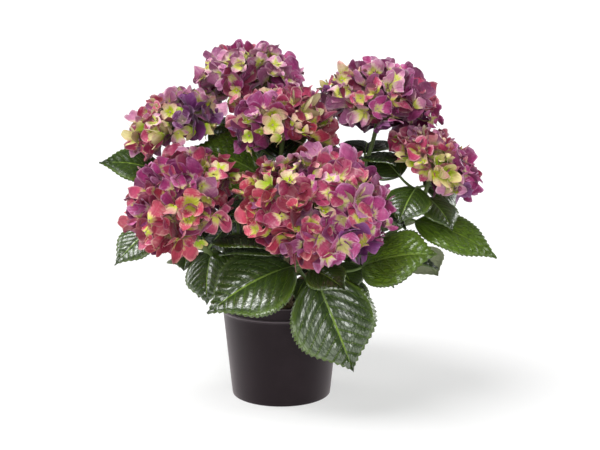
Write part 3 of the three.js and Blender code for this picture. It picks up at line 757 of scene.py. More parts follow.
class Leaf:
    """A leaf on a line, swung aside by degrees of heading and of rise: its stalk is a curve that arrives
    along the midrib, and its midrib is an even arc over its chord."""

    def __init__(self, line, wish, turned, raised):
        if "base" in wish:
            base = np.array(wish["base"])
            chord = np.array(wish["tip"]) - base
            start = base - chord * STALK_SHARE
            start[2] = base[2] - 0.01
            self.level = LEAFY[np.argmin(np.linalg.norm(line.at(LEAFY) - start, axis=1))]
            stalk, self.width = base - line.at(self.level), wish["width"]
        else:
            self.level = wish["at"]
            steep = min(wish["rise"] + STALK_LIFT, STALK_STEEPEST)
            stalk = towards(wish["heading"], steep) * STALK_SHARE * wish["length"]
            chord = towards(wish["heading"], wish["rise"]) * wish["length"]
            self.width = BLADE_WIDTH * wish["length"]
        self.tone = wish["tone"]
        stalk, chord = swung(stalk, turned, raised), swung(chord, turned, raised)
        start = line.at(self.level)
        self.base = start + stalk
        span = np.linalg.norm(chord)
        self.ahead = chord / span
        looks = towards(wish["face"][0] + turned, wish["face"][1])
        self.face = unit(looks - self.ahead * (looks @ self.ahead))
        self.side = np.cross(self.face, self.ahead)
        self.length = span * BLADE_BEND / 2 / math.sin(BLADE_BEND / 2)
        tangent = self.ahead * math.cos(BLADE_BEND / 2) + self.face * math.sin(BLADE_BEND / 2)
        knee = self.base - tangent * 0.45 * np.linalg.norm(stalk)
        self.stalk = (start, knee, self.base)

    def stalk_at(self, step):
        start, knee, end = self.stalk
        step = np.asarray(step)[..., None]
        return (1 - step) ** 2 * start + 2 * step * (1 - step) * knee + step**2 * end

    def normal(self, along):
        turn = BLADE_BEND * (0.5 - np.asarray(along))[..., None]
        return self.face * np.cos(turn) - self.ahead * np.sin(turn)

    def skin(self, along, across):
        """Points of the blade: along from 0 at its base to 1 at its tip, across from -1 to 1."""
        turn = BLADE_BEND * (0.5 - along)
        half = half_width(along) * self.width / 2
        lift = half * (abs(across) * BLADE_FOLD - across**2 * BLADE_CURL)
        run = self.length / BLADE_BEND
        on = run * (math.sin(BLADE_BEND / 2) - np.sin(turn))[..., None] * self.ahead
        up = run * (np.cos(turn) - math.cos(BLADE_BEND / 2))[..., None] * self.face
        aside = (across * half)[..., None] * self.side
        return self.base + on + up + aside + lift[..., None] * self.normal(along)

    def feelers(self):
        along = np.arange(1, FEELER_ROWS + 1) / FEELER_ROWS
        across = np.arange(-FEELER_HALF, FEELER_HALF + 1) / FEELER_HALF
        along, across = np.meshgrid(along, across, indexing="ij")
        return np.concatenate([self.stalk_at([0.35, 0.7]), self.skin(along, across).reshape(-1, 3)])


def tallness(head, up):
    """A head's height above its middle, or its depth under it, as a share of its radius."""
    return head.get("squat", 1) * np.where(up > 0, HEAD_RISE, HEAD_DROP)


def depth_in_head(points, head):
    """How far points are inside a head's outline: under 1 is inside."""
    off = points - np.array(head["end"])
    up = off @ leaning(head["tilt"])
    out = np.sqrt(np.maximum((off**2).sum(-1) - up**2, 0))
    return np.hypot(out / head["radius"], up / (head["radius"] * tallness(head, up)))


def nearest(points, others):
    return np.linalg.norm(points[:, None] - others[None], axis=2).min(1)


heads = {name: stem for name, stem in STEMS.items() if "radius" in stem}
axes = {name: line.at(np.arange(41) / 40) for name, line in lines.items()}


def has_room(points, own, placed, room=1.0):
    """Whether a leaf's points are clear of the pot, the heads, the stems and the leaves before it. The
    room to stems and leaves is a share of the usual one."""
    near_rim = np.hypot(points[:, 0], points[:, 1]) < POT_RIM + RIM_CLEAR
    if np.any(near_rim & (points[:, 2] < POT_HEIGHT + RIM_CLEAR)):
        return False
    if any(depth_in_head(points, head).min() < HEAD_CLEAR for head in heads.values()):
        return False
    near_own = math.ceil(2 + (2 * FEELER_HALF + 1) * FEELER_ROWS * OWN_CLEAR)
    for name, axis in axes.items():
        first = near_own if name == own else 0
        if nearest(points[first:], axis).min() < STEM_CLEAR * room:
            return False
    low, high = points.min(0) - LEAF_CLEAR, points.max(0) + LEAF_CLEAR
    for other in placed:
        if np.all(other.min(0) < high) and np.all(other.max(0) > low):
            if nearest(points, other).min() < LEAF_CLEAR * room:
                return False
    return True


swings = [(a * SWING, b * SWING) for a in range(-5, 6) for b in range(-4, 5)]
swings.sort(key=lambda swing: (swing[0] ** 2 + swing[1] ** 2, *swing))
leaves_on = {name: [] for name in STEMS}
placed = []


def grown(name, wish, room=1.0):
    """The leaf that is wished for, swung aside as little as gives it room, or none."""
    for turned_by, raised_by in swings:
        leaf = Leaf(lines[name], wish, turned_by, raised_by)
        points = leaf.feelers()
        if has_room(points, name, placed, room):
            placed.append(points)
            return [leaf]
    return []


wishes = [(name, wish) for name, several in LEAVES.items() for wish in several]
for name, wish in sorted(wishes, key=lambda entry: "base" not in entry[1]):
    leaves_on[name] += grown(name, wish)

# Small dark leaves deep in the bush, which close it where light would show between the canes. Their dark
# green is partly painted shade.
INNER_ROOM = 0.4  # of the room that the other leaves keep
INNER_LEAVES = [
    ("left", aimed((-0.066, -0.002, 0.196), (-0.085, -0.004, 0.158), 0.037, (-90, 20), 0)),
    ("low_left", aimed((-0.05, 0.016, 0.2), (-0.094, 0.014, 0.166), 0.046, (-90, 20), 0)),
    ("upper_left", aimed((-0.05, 0.03, 0.232), (-0.042, 0.024, 0.184), 0.044, (-90, 20), 0)),
    ("front", aimed((-0.002, -0.04, 0.206), (-0.034, -0.036, 0.184), 0.04, (-90, 30), 0)),
    ("low_back", aimed((0.002, 0.05, 0.172), (0.016, 0.05, 0.134), 0.044, (-90, 20), 0)),
    ("low_right", aimed((0.042, 0.022, 0.17), (0.02, 0.026, 0.127), 0.042, (-90, 20), 0)),
]
inner_leaves = [leaf for name, wish in INNER_LEAVES for leaf in grown(name, wish, INNER_ROOM)]

# The upper and under side of a blade lie side by side on the finish's map, in a row for each tone.
BLADE_TOP = 0.25
BLADE_UNDER = 0.75
BLADE_SPREAD = 0.235  # how far each reaches from its middle
VEIN_SHIFT = 0.4  # how far the side veins of one half are set off from the other's, in veins
TONES = 4
TOOTH = 0.0048  # from one tooth to the next
EDGE_WAVE = 0.01  # height of the slow waves of the margin, of the blade's length
EDGE_WAVES = 1.6
RIBS_BELOW = 0.0007  # how far the middle of the midrib lies under the blade


def blisters(along, across):
    """Height of the quilting from 0 to 1: nothing on the veins and at the margin."""
    height = abs(sine(math.pi * (vein_count(along, across) + VEIN_SHIFT * (across > 0)))) ** 0.5
    out = abs(across)
    return height * smooth(out, 0.0, 0.2) * (1 - smooth(out, 0.72, 1.0)) * smooth(along, 0.0, 0.1)


def add_blade(blades, leaf, random):
    """A blade as a thin closed sheet: quilted and toothed above, and the same a little lower beneath."""
    teeth = max(8, round(leaf.length / TOOTH))
    rows = 3 * teeth + 1
    level = np.linspace(0.004, 0.996, rows)
    along, across = np.meshgrid(level, np.linspace(-1, 1, BLADE_COLUMNS), indexing="ij")
    phase = 2 * math.pi * next(random)
    edge = np.abs(across)
    height = QUILT * leaf.length * blisters(along, across)
    wave = np.sin(2 * math.pi * EDGE_WAVES * along + phase + 1.7 * (across > 0))
    height += EDGE_WAVE * leaf.length * edge**2 * wave
    saw = np.array([0, 0.55, 1.0])[np.arange(rows) % 3]
    saw = saw * smooth(level, 0.03, 0.16) * (1 - smooth(level, 0.9, 1))
    out = np.zeros_like(along)
    out[:, 0], out[:, -1] = -saw, saw
    top = leaf.skin(along, across) + height[..., None] * leaf.normal(along)
    top += (TEETH * leaf.length * out)[..., None] * leaf.side
    top += (0.6 * TEETH * leaf.length * np.abs(out))[..., None] * leaf.ahead
    under = top - BLADE_THICK * leaf.normal(along)
    count = rows * BLADE_COLUMNS
    above = np.arange(count).reshape(rows, BLADE_COLUMNS)
    below = above.copy()
    below[1:-1, 1:-1] = count + np.arange((rows - 2) * (BLADE_COLUMNS - 2)).reshape(rows - 2, -1)
    faces = net(rows, BLADE_COLUMNS)
    spot_v = (leaf.tone + 0.02 + 0.96 * along) / TONES
    spots = [np.stack([middle + BLADE_SPREAD * across, spot_v], -1).reshape(-1, 2)
             for middle in (BLADE_TOP, BLADE_UNDER)]
    blades.add(
        np.concatenate([top.reshape(-1, 3), under[1:-1, 1:-1].reshape(-1, 3)]),
        np.concatenate([above.ravel()[faces][:, ::-1], below.ravel()[faces]]),
        np.concatenate([spots[0][faces][:, ::-1], spots[1][faces]]),
    )


def add_stalk(stalks, leaf):
    """A leaf's stalk, which runs on under its blade as the midrib."""
    along = np.linspace(0.02, 0.9, 20)
    rib = leaf.skin(along, np.zeros_like(along)) - RIBS_BELOW * leaf.normal(along)
    centres = np.concatenate([leaf.stalk_at(np.linspace(0.0, 0.96, 10)), rib])
    girth = np.concatenate([np.linspace(1.15, 0.85, 10), np.linspace(0.75, 0.16, 20)])
    girth[:3] *= (1.3, 1.15, 1.05)
    rings = tube(centres, STALK_RADIUS * girth, 8)
    stalks.add(rings, net(len(centres), 8, around=True), wrapped(len(centres), 8))


# The canes, from inside the old wood up to the middle of their heads, with a knot at each pair of leaves.
for name, line in lines.items():
    count = round(line.length / CANE_STEP)
    share = np.linspace(0, 1, count)
    radius = CANE_ROOT + (CANE_TIP - CANE_ROOT) * share
    for leaf in leaves_on[name]:
        off = (share - leaf.level) * line.length / KNOT_REACH
        radius = radius * (1 + KNOT_RISE * np.exp(-off**2) / max(1, len(leaves_on[name]) / 3))
    if "radius" not in STEMS[name]:
        radius = radius * np.sqrt(np.clip((1.0005 - share) * line.length / 0.006, 0, 1))
    centres = line.at(share)
    centres[0] -= 0.003 * line.ahead(0)
    rings = tube(centres, radius, CANE_SIDES)
    off = unit(rings - centres[:, None])
    relief = 0.00022 * rough(rings * (1, 1, 0.35), 700) + 0.00018 * rough(rings, 260)
    rings = rings + off * relief[..., None]
    cane = Gathering()
    cane.add(rings, net(count, CANE_SIDES, around=True), wrapped(count, CANE_SIDES))
    cane.piece(f"stem_{name}", cane_finish, "cane", f"cane_{name}")

# A blade's green depends on its tone: dark inside the bush, which is partly painted shade, grown, young, or
# matt. Its wax shines between the veins, and the grooves of the fine veins are darkened with painted shade.
LEAF_DARK_AND_SHADE = (0.01, 0.024, 0.005)
LEAF_GROWN = (0.042, 0.085, 0.004)
LEAF_YOUNG_AND_PAINTED_LIGHT = (0.128, 0.23, 0.012)
LEAF_MATT = (0.04, 0.08, 0.007)
LEAF_UNDER = (0.27, 0.3, 0.18)
LEAF_VEIN = (0.24, 0.37, 0.05)
LEAF_EDGE = (0.11, 0.19, 0.008)
STALK_GREEN = (0.15, 0.225, 0.062)

leaf_finish = Finish("leaf", LEAF_GROWN, 0.4)
spot = leaf_finish.spot()
spot_x = leaf_finish.part(spot, "X")
beneath = spot_x > 0.5
across = ((spot_x * 2).remainder() - 0.5) / (2 * BLADE_SPREAD)
band = leaf_finish.part(spot, "Y") * TONES
along = (band.remainder() - 0.02) / 0.96
grown_on, young_and_painted_light, matt = band.between(0.98, 1.0), band.between(1.98, 2.0), band.between(2.98, 3.0)
count = vein_count(along, across) + VEIN_SHIFT * (across > 0)
out = abs(across)
by_vein = abs((count.remainder() - 0.5) * 2)
side_vein = by_vein.between(0.88, 0.98) * out.between(0.95, 0.75)
groove = by_vein.between(0.6, 0.86) * out.between(1.0, 0.8)
midrib = out.between(0.034, 0.014)
net_place = {"X": count * 0.75, "Y": across * 8.0, "Z": spot_x}
net_place = leaf_finish.node("ShaderNodeCombineXYZ", {}, net_place)
cells = {"Vector": net_place, "Scale": 1.7}
cells = leaf_finish.node("ShaderNodeTexVoronoi", {"feature": "DISTANCE_TO_EDGE"}, cells)
small_veins = cells.between(0.03, 0.16)
patches = leaf_finish.grain(net_place, 0.8, 3.0)
gloss = (0.3 + 0.7 * small_veins) * (1 - 0.92 * groove) * (1 - midrib)
gloss = gloss * (1 - 0.4 * patches.between(0.45, 0.7)) * (1 - 0.5 * young_and_painted_light) * (1 - 0.6 * matt)
leaf_finish.wear(**{
    "Base Color": leaf_finish.layers(
        LEAF_DARK_AND_SHADE,
        (grown_on, LEAF_GROWN),
        (young_and_painted_light, LEAF_YOUNG_AND_PAINTED_LIGHT),
        (matt, LEAF_MATT),
        (patches.between(0.35, 0.75) * 0.4, LEAF_DARK_AND_SHADE),
        # painted shade: the grooves of the fine veins are darkened
        ((1 - small_veins) * 0.5, LEAF_DARK_AND_SHADE),
        (out.between(0.78, 1.0) * 0.8, LEAF_EDGE),
        ((0.22 * side_vein).or_more(0.95 * midrib), LEAF_VEIN),
        (beneath * 0.92, LEAF_UNDER),
    ),
    "Roughness": 0.4 + 0.1 * patches + 0.3 * beneath,
    "Specular IOR Level": 0.3,
    "Coat Weight": (1 - beneath) * gloss * 0.9,
    "Coat IOR": 2.2,
    "Coat Roughness": 0.23,
})
leaf_finish.relief(0.6 * small_veins + 0.3 * midrib, 0.001)

stalk_finish = Finish("leaf stalk", STALK_GREEN, 0.5)
spot = stalk_finish.spot()
fibres = stalk_finish.grain(stalk_finish.stretched(spot, (14.0, 3.0, 1.0)), 1.0)
ripe = (stalk_finish.part(spot, "Y") + 0.2 * fibres).between(0.0, 0.5)
stalk_finish.wear(**{"Base Color": stalk_finish.mix(ripe, CANE_GREEN, STALK_GREEN)})
stalk_finish.relief(fibres, 0.0003)

random = seeded(77)
stalks = Gathering()
for name, leaves in {**leaves_on, "inner": inner_leaves}.items():
    blades = Gathering()
    for leaf in leaves:
        add_blade(blades, leaf, random)
        add_stalk(stalks, leaf)
    stands_for = [f"leaves_{name}"] if name in leaves_on else []
    blades.piece(f"blades_{name}", leaf_finish, "leaf", *stands_for)
stalks.piece("leaf_stalks", stalk_finish, "leaf")

# A flower head is a dome of florets. Each floret is four leathery sepals round a bud the size of a pin's
# head, on a thin stalk from one of the stout rays that spread from the top of the cane.

HEAD_SKIRT = math.cos(math.radians(112))
# How many florets a metre of radius has, how far out they sit, their seed, and whether they are inside.
FLORETS = [(1150, 0.9, 3, False), (680, 0.66, 53, True)]
FLORET_SCATTER = 0.12
FLORET_TILT = 58  # most degrees off the head's own surface
SEPAL_ROWS = 9
SEPAL_COLUMNS = 7
RAYS = 190  # for a metre of radius
RAY_RADIUS = 0.0013
FLORET_STALK = 0.0006
RAY_SEED = 11
RAY_RINGS = 8
RAY_SIDES = 6
BUD = 0.0013  # radius
BUD_SIDES = 6
BUD_PROFILE = ((0.35, -0.5), (0.9, -0.15), (1.0, 0.3), (0.75, 0.8), (0.25, 1.05))
KINDS = 3  # of sepal on a tint's map, before the shaded one of the florets inside
RAY_END = 0.5  # of the head's radius
GOLDEN_TURN = 2.39996  # from one floret to the next
HEAD_APART = 1.03  # least depth of a floret in the outline of a head before it
CORE_APART = 0.6  # and of one behind it
TINT_PULL = 0.8  # how strongly a tint keeps to its side
TINT_PATCH = 0.4  # and to patches of its own
SEPAL_CROWDING = 1.46  # how closely the rows of a sepal crowd at its tip, as an angle
STALK_PALE = (0.13, 0.17, 0.05)
STALK_FLUSH = (0.3, 0.16, 0.13)
BUD_PALE = (0.55, 0.52, 0.3)
BUD_DEEP = (0.42, 0.16, 0.26)
# The florets inside a head are darkened towards this dark wine, as painted shade.
INNER_PAINTED_SHADE = (0.075, 0.002, 0.022)

# For each tint of floret: the colours of its sepals from the heart to the tip and along their rims, whose
# colour also serves the painted highlights, how far they reach and cup, how pointed they are, from 0 for
# round, and how far out the heart's colour runs.
TINTS = {
    "coral": dict(
        slot="sepal_rose", heart=(0.56, 0.6, 0.05), body=(0.525, 0.038, 0.092), tip=(0.26, 0.009, 0.036),
        rim=(0.8, 0.48, 0.4), reach=0.019, cup=0.45, point=0.7, opened=0.2),
    "rose": dict(
        slot="sepal_rose", heart=(0.6, 0.6, 0.09), body=(0.505, 0.042, 0.128), tip=(0.25, 0.011, 0.066),
        rim=(0.815, 0.52, 0.52), reach=0.019, cup=0.42, point=0.8, opened=0.22),
    "magenta": dict(
        slot="sepal_mauve", heart=(0.56, 0.5, 0.18), body=(0.405, 0.032, 0.18), tip=(0.175, 0.01, 0.095),
        rim=(0.745, 0.371, 0.604), reach=0.0195, cup=0.38, point=0.4, opened=0.18),
    "plum": dict(
        slot="sepal_violet", heart=(0.202, 0.137, 0.11), body=(0.098, 0.009, 0.073),
        tip=(0.195, 0.031, 0.195), rim=(0.392, 0.171, 0.352), reach=0.0175, cup=0.42, point=0.1,
        opened=0.16),
    "blush": dict(
        slot="sepal_mauve", heart=(0.6, 0.62, 0.11), body=(0.631, 0.27, 0.402), tip=(0.371, 0.089, 0.254),
        rim=(0.855, 0.658, 0.701), reach=0.018, cup=0.38, point=0.8, opened=0.3),
    "cream": dict(
        slot="sepal_lime", heart=(0.5, 0.59, 0.01), body=(0.7, 0.63, 0.34), tip=(0.57, 0.11, 0.21),
        rim=(0.8, 0.5, 0.47), reach=0.0135, cup=0.5, point=1.0, opened=0.36),
    "lime": dict(
        slot="sepal_lime", heart=(0.332, 0.468, 0.002), body=(0.604, 0.644, 0.054),
        tip=(0.715, 0.64, 0.33), rim=(0.68, 0.32, 0.33), reach=0.012, cup=0.85, point=0.9, opened=0.7),
}

# The tints of each head: how common each is, and the side of the head (right, back, up) that it keeps to.
HEAD_TINTS = {
    "front": dict(
        coral=(0.75, -0.6, 0, -0.1), rose=(1.0, 0.0, 0, 0.2), magenta=(0.8, 0.5, 0, -0.1),
        plum=(0.6, 0.1, 0, -0.6), blush=(0.7, -0.1, 0, 0.6), cream=(0.7, 0, -0.1, 0.2),
        lime=(0.6, 0, -0.2, 0.1)),
    "left": dict(
        coral=(0.95, 0.2, 0, -0.1), rose=(0.95, 0.1, 0, 0.1), magenta=(0.75, -0.7, 0, 0.3),
        blush=(0.45, 0.1, 0, 0.3), cream=(0.65, 0.3, 0, 0.1), lime=(0.5, 0.2, -0.2, 0.1)),
    "upper_left": dict(
        rose=(0.65, -0.6, 0, 0.2), blush=(0.85, -0.1, 0, 0.6), plum=(0.75, 1.0, 0, -1.1),
        cream=(0.65, 0.1, -0.2, 0.4), lime=(0.65, 0, -0.3, 0.4)),
    "top": dict(
        rose=(0.8, -0.2, 0, 0.1), magenta=(0.95, 0, 0, 0), plum=(0.35, 0.1, -0.2, -0.4),
        blush=(1.2, -0.1, 0, 0.4), cream=(0.6, 0.2, -0.1, 0), lime=(0.5, 0.2, -0.1, 0)),
    "middle": dict(
        coral=(0.7, 0.6, 0, -0.2), rose=(0.8, 0.1, 0, 0.1), magenta=(0.6, -0.3, 0, 0.6),
        plum=(0.2, -0.5, 0, 0.5), blush=(0.55, -0.4, 0, 0), cream=(0.85, 0, -0.1, -0.3),
        lime=(0.8, 0.1, -0.2, -0.4)),
    "upper_right": dict(
        blush=(0.7, -0.4, 0, 0.5), magenta=(1.0, 0.6, 0, 0.1), plum=(0.8, -0.1, 0, -0.5),
        rose=(0.75, 0.1, 0, 0.3), cream=(0.55, -0.5, 0, 0.1), lime=(0.45, -0.3, -0.1, 0)),
    "right": dict(
        coral=(0.35, 0.5, 0, -0.2), rose=(0.75, 0.2, 0, 0.3), magenta=(0.75, 0.7, 0, -0.5),
        plum=(0.5, 0.1, 0, -0.3), blush=(0.7, 0, 0, 0.4), cream=(0.8, -0.1, -0.1, 0),
        lime=(0.8, -0.2, -0.2, -0.2)),
    "back_left": dict(
        magenta=(0.9, -0.3, 0, 0), plum=(0.6, 0.2, 0, -0.3), blush=(0.7, 0, 0, 0.3), lime=(0.4, 0, 0, 0)),
    "back_right": dict(
        coral=(0.8, 0.3, 0, 0), rose=(0.9, -0.2, 0, 0.2), cream=(0.5, 0, 0, 0), lime=(0.35, 0, 0, 0)),
}


def tint_finish(name, tint):
    """A finish whose map holds three kinds of sepal side by side, with ever larger and paler hearts, and
    a fourth without a heart, darkened with painted shade for the florets inside the head."""
    finish = Finish(f"sepals {name}", tint["body"], 0.6)
    spot = finish.spot()
    x = finish.part(spot, "X") * (KINDS + 1)
    run = finish.part(spot, "Y")
    across = (x.remainder() - 0.5) / 0.48
    inside = x > KINDS
    opened = (x - x.remainder()) / KINDS * (1 - inside)
    spot = finish.stretched(spot, ((KINDS + 1) / KINDS, 1.0, 1.0))
    streaks = finish.grain(finish.stretched(spot, (26.0, 2.4, 1.0)), 1.0, 3.0)
    blots = finish.grain(spot, 9.0, 2.0)
    level = run + 0.5 * (streaks - 0.5) - 0.4 * opened
    past = level.between(0.2 * tint["opened"], 1.5 * tint["opened"])
    edge = (abs(across) + 0.2 * run).between(0.92, 1.1) * run.between(0.1, 0.4) + run.between(0.92, 1.0)
    # Pale patches over the middle of the sepals, in the rims' colour, are painted highlights.
    pale = finish.grain(spot, 5.0, 4.0).between(0.48, 0.72) * run.between(0.25, 0.6)
    finish.wear(**{
        "Base Color": finish.layers(
            tint["body"],
            ((blots - opened).between(0.0, 0.65) * 0.75, tint["tip"]),
            (1 - past, tint["heart"]),
            (past * (1 - past) * 1.5, tint["rim"]),
            (level.between(0.45, 0.85) * 0.7, tint["tip"]),
            # pale rims: partly the sepals' own pale margins, and partly a painted highlight along their
            # edges
            (edge.or_less(1.0) * streaks.between(0.35, 0.65) * 0.5, tint["rim"]),
            # painted highlights
            (pale * (0.3 + 0.5 * opened), tint["rim"]),
            # painted shade over the florets inside the head
            (inside * 0.4, INNER_PAINTED_SHADE),
        ),
        "Roughness": 0.46,
        "Sheen Weight": 0.15,
    })
    ribs = abs((across * 7.0 - across * run * 3.0).wave()).between(0.0, 0.5)
    finish.relief(0.5 * ribs + 0.5 * streaks, 0.0004)
    return finish


tint_finishes = {name: tint_finish(name, tint) for name, tint in TINTS.items()}


class Florets:
    """Florets on a spiral from the top of a head down to its skirt: their places, the way they face, and
    their spin."""

    def __init__(self, head, seed, density, surface, inside=False):
        self.head = head
        self.inside = inside
        self.middle = np.array(head["end"])
        self.axis = leaning(head["tilt"])
        one = unit(np.cross((0, 0, 1), self.axis))
        two = np.cross(self.axis, one)
        count = round(density * head["radius"])
        order = np.arange(count)
        up = 1 - (order + 0.5) / count * (1 - HEAD_SKIRT)
        out = np.sqrt(1 - up**2)
        turn = order * GOLDEN_TURN + seed
        tall = tallness(head, up)
        self.chance = draws(seeded(seed), count, 8)
        reach = head["radius"] * surface * (1 + FLORET_SCATTER * (2 * self.chance[:, 0] - 1))
        flat = circling(turn[:, None], one, two)
        self.off = (reach * out)[:, None] * flat + (reach * tall * up)[:, None] * self.axis
        facing = unit((out * tall)[:, None] * flat + up[:, None] * self.axis)
        lean = 2 * math.tan(math.radians(FLORET_TILT))
        self.facing = unit(facing + lean * (self.chance[:, 1:4] - 0.5))
        self.spin = self.chance[:, 4] * math.pi

    def sides(self):
        one = unit(np.cross((0.3, 0.5, 0.8), self.facing))
        return one, np.cross(self.facing, one)

    def rims(self):
        """Eight points round each floret's rim, when its sepals are as far up as they mostly are."""
        one, two = self.sides()
        angle = np.arange(8)[:, None] * math.pi / 4
        ring = circling(angle, one[:, None], two[:, None]) + 0.48 * self.facing[:, None]
        return (self.middle + self.off)[:, None] + self.reach[:, None, None] * ring

    def pick(self, tints, number, seed):
        """The number of each floret's tint: the one that scores highest where the floret sits."""
        where = self.off / self.head["radius"]
        scores = []
        for k, (common, *side) in enumerate(tints.values()):
            patch = rough(where * 2.3, 1.0, 11.3 * k + 3.1 * number)
            scores.append(common + where @ np.array(side) * TINT_PULL + TINT_PATCH * patch)
        return (np.array(scores) + draws(seeded(seed + 31), len(tints), len(where))).argmax(0)

    def settle(self, reach):
        """Gives each floret its reach, draws it in to the outline of its head, and tells whether the
        other heads leave room for it."""
        self.reach = reach
        depth = depth_in_head(self.rims(), self.head).max(1)
        self.off = self.off / np.maximum(depth, 1)[:, None]
        rims = self.rims()
        free = np.ones(len(rims), bool)
        for other in heads.values():
            if other is not self.head:
                least = HEAD_APART if other["end"][1] < self.head["end"][1] else CORE_APART
                free &= depth_in_head(rims, other).min(1) > least
        return free


def add_sepals(spray, florets, chosen, tint):
    """Four sepals for each chosen floret, in two crossed pairs of which one lies over the other."""
    one, two = florets.sides()
    share = np.sin(np.linspace(0.0, SEPAL_CROWDING, SEPAL_ROWS)) ** 1.1
    share = share * 0.99 / math.sin(SEPAL_CROWDING) ** 1.1
    along, across = np.meshgrid(share, np.linspace(-1, 1, SEPAL_COLUMNS), indexing="ij")
    faces = net(SEPAL_ROWS, SEPAL_COLUMNS)
    spots = np.stack([0.5 + 0.48 * across, 0.01 + 0.98 * along], -1).reshape(-1, 2)[faces]
    random = seeded(97)
    for i in np.flatnonzero(chosen):
        reach, middle, ahead = florets.reach[i], florets.middle + florets.off[i], florets.facing[i]
        cup = tint["cup"] * (0.2 + 2.1 * florets.chance[i, 6])
        kind = int(KINDS * (0.55 * (1 - florets.chance[i, 5]) + 0.45 * florets.chance[i, 7]))
        spot = (spots + (KINDS if florets.inside else kind, 0)) / (KINDS + 1, 1)
        for k in range(4):
            length, turn, droop, phase, fold, twist, point, tilt = draws(random, 8)
            # Its outline, its size and direction, and how it cups, droops, folds, waves and twists.
            narrow = 0.4 + 0.48 * tint["point"] * (0.3 + point)
            half = 0.74 * (along + 0.03) ** 0.72 * (1 - along) ** narrow * (1.22 + 0.62 * narrow)
            half = half * (1 + 0.05 * np.sin(11 * along + 6.3 * phase))
            angle = florets.spin[i] + k * math.pi / 2 + 0.34 * (turn - 0.5)
            out = math.cos(angle) * one[i] + math.sin(angle) * two[i]
            aside = np.cross(ahead, out)
            size = reach * (0.84 + 0.26 * length)
            lift = (cup + 0.5 * (tilt - 0.4)) * along**1.4 - 0.6 * droop**2 * along**3
            lift = lift + (2.2 * fold - 0.6) * (half * across) ** 2 + 0.3 * (fold - 0.3) * half * abs(across)
            lift = lift + 0.09 * np.sin(7 * along + 6.3 * phase + 2.5 * across) * across**2
            lift = lift + 1.2 * (twist - 0.5) * half * across * along + 0.04 * (k % 2)
            points = middle + (size * (0.05 + 0.95 * along))[..., None] * out
            points = points + (size * half * across)[..., None] * aside + (size * lift)[..., None] * ahead
            spray.add(points, faces, spot)


def add_stem(stems, way, radii, sides):
    """A thin stem along a line, with a ring of points for each radius."""
    share = np.linspace(0, 1, len(radii))
    stems.add(tube(way.at(share), radii, sides), net(len(radii), sides, around=True))


bud_top = BUD_SIDES * (len(BUD_PROFILE) - 1) + np.array([[0, 1, 2, 3], [0, 3, 4, 5]])
bud_faces = np.concatenate([net(len(BUD_PROFILE), BUD_SIDES, around=True), bud_top])


def add_buds(buds, stems, florets, free, ray_ends):
    """The bud in the heart of each free floret, and its thin stalk from the end of the nearest ray."""
    one, two = florets.sides()
    angle = np.arange(BUD_SIDES)[:, None] * math.pi / 3
    for i in np.flatnonzero(free):
        middle, ahead = florets.middle + florets.off[i], florets.facing[i]
        ring = circling(angle, one[i], two[i])
        buds.add([middle + BUD * (out * ring + up * ahead) for out, up in BUD_PROFILE], bud_faces)
        start = ray_ends[np.argmin(np.linalg.norm(ray_ends - middle, axis=1))]
        span = np.linalg.norm(middle - start)
        way = Line(start, start + 0.4 * (middle - start), middle - 0.3 * span * ahead, middle)
        add_stem(stems, way, np.full(5, FLORET_STALK), 5)


flower_stalks, buds = Gathering(), Gathering()
for number, (name, head) in enumerate(heads.items()):
    tints = HEAD_TINTS[name]
    hub = lines[name].at(1.0)
    rays = Florets(head, RAY_SEED + number, RAYS, RAY_END)
    ray_ends = rays.middle + rays.off
    for end in ray_ends:
        way = Line(hub - 0.1 * (end - hub), hub + 0.3 * (end - hub), end - 0.3 * (end - rays.middle), end)
        add_stem(flower_stalks, way, RAY_RADIUS * (1.1 - 0.35 * np.linspace(0, 1, RAY_RINGS)), RAY_SIDES)
    sprays = {tint: Gathering() for tint in tints}
    for density, surface, seed, inside in FLORETS:
        florets = Florets(head, seed + number, density, surface, inside)
        choice = florets.pick(tints, number, seed)
        reach = np.array([TINTS[tint]["reach"] for tint in tints])[choice]
        free = florets.settle(reach * (0.58 + 0.68 * florets.chance[:, 5]))
        for k, tint in enumerate(tints):
            add_sepals(sprays[tint], florets, free & (choice == k), TINTS[tint])
        add_buds(buds, flower_stalks, florets, free, ray_ends)
    for tint, spray in sprays.items():
        if spray.count:
            spray.piece(f"sepals_{name}_{tint}", tint_finishes[tint], TINTS[tint]["slot"], f"bloom_{name}")
stalk_finish = mottled("flower stalk", STALK_PALE, STALK_FLUSH, 0.55, 300.0, 2.0, (0.35, 0.65), 0.0002)
flower_stalks.piece("flower_stalks", stalk_finish, "cane")
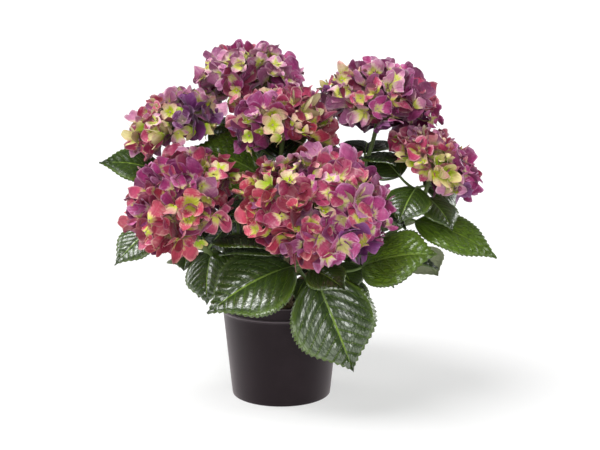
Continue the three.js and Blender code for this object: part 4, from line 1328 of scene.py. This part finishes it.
bud_finish = mottled("flower buds", BUD_PALE, BUD_DEEP, 0.5, 420.0, 2.0, (0.4, 0.6), 0.0002)
buds.piece("flower_buds", bud_finish, "sepal_lime")

# The floor is one plain pale sweep that glows a little, as for a shop's cut-out picture. A broad soft
# light stands high at the left, a low one in front, and one behind each side. The room is dim.

FLOOR_PALE = (0.45, 0.45, 0.45)
FLOOR_GLOW = 0.55
ROOM_LIGHT = 0.08
CAMERA_PLACE = (0.0222, -1.707, 0.571)
CAMERA_DIP = 12.18  # degrees

floor_finish = Finish("pale floor", FLOOR_PALE, 0.9)
floor_finish.wear(**{"Emission Color": (1.0, 1.0, 1.0), "Emission Strength": FLOOR_GLOW})
floor = Gathering()
floor.add(turned([(0.001, 0), (60.0, 0)], 64), net(2, 64, around=True))
stage = floor.mesh("floor")
stage.materials.append(floor_finish.material)
ground = added("floor", stage)


def soft_light(name, place, spread, strength):
    """A broad light that shines from its place at the foot of the plant, with a spread in degrees."""
    lamp = bpy.data.lights.new(name, "SUN")
    lamp.angle = math.radians(spread)
    lamp.energy = strength
    thing = added(name, lamp)
    thing.location = place
    thing.rotation_euler = (-Vector(place)).to_track_quat("-Z", "Y").to_euler()


soft_light("light_above", (-0.9, -0.6, 2.0), 46, 3.35)
soft_light("light_front", (0.1, -1.9, 0.65), 32, 1.15)
soft_light("light_left", (-2.2, 0.8, 0.9), 35, 1.4)
soft_light("light_right", (2.2, 1.0, 0.25), 40, 2.0)
world = bpy.data.worlds.new("room")
world.use_nodes = True
backdrop = world.node_tree.nodes["Background"]
backdrop.inputs["Color"].default_value = (1.0, 1.0, 1.0, 1)
backdrop.inputs["Strength"].default_value = ROOM_LIGHT
bpy.context.scene.world = world
bpy.context.scene.view_settings.view_transform = "Standard"

lens = bpy.data.cameras.new("camera")
lens.lens = 90
lens.sensor_width = 36
lens.clip_end = 150
camera = added("camera", lens)
camera.location = CAMERA_PLACE
camera.rotation_euler = (math.radians(90 - CAMERA_DIP), 0, 0)
bpy.context.scene.camera = camera
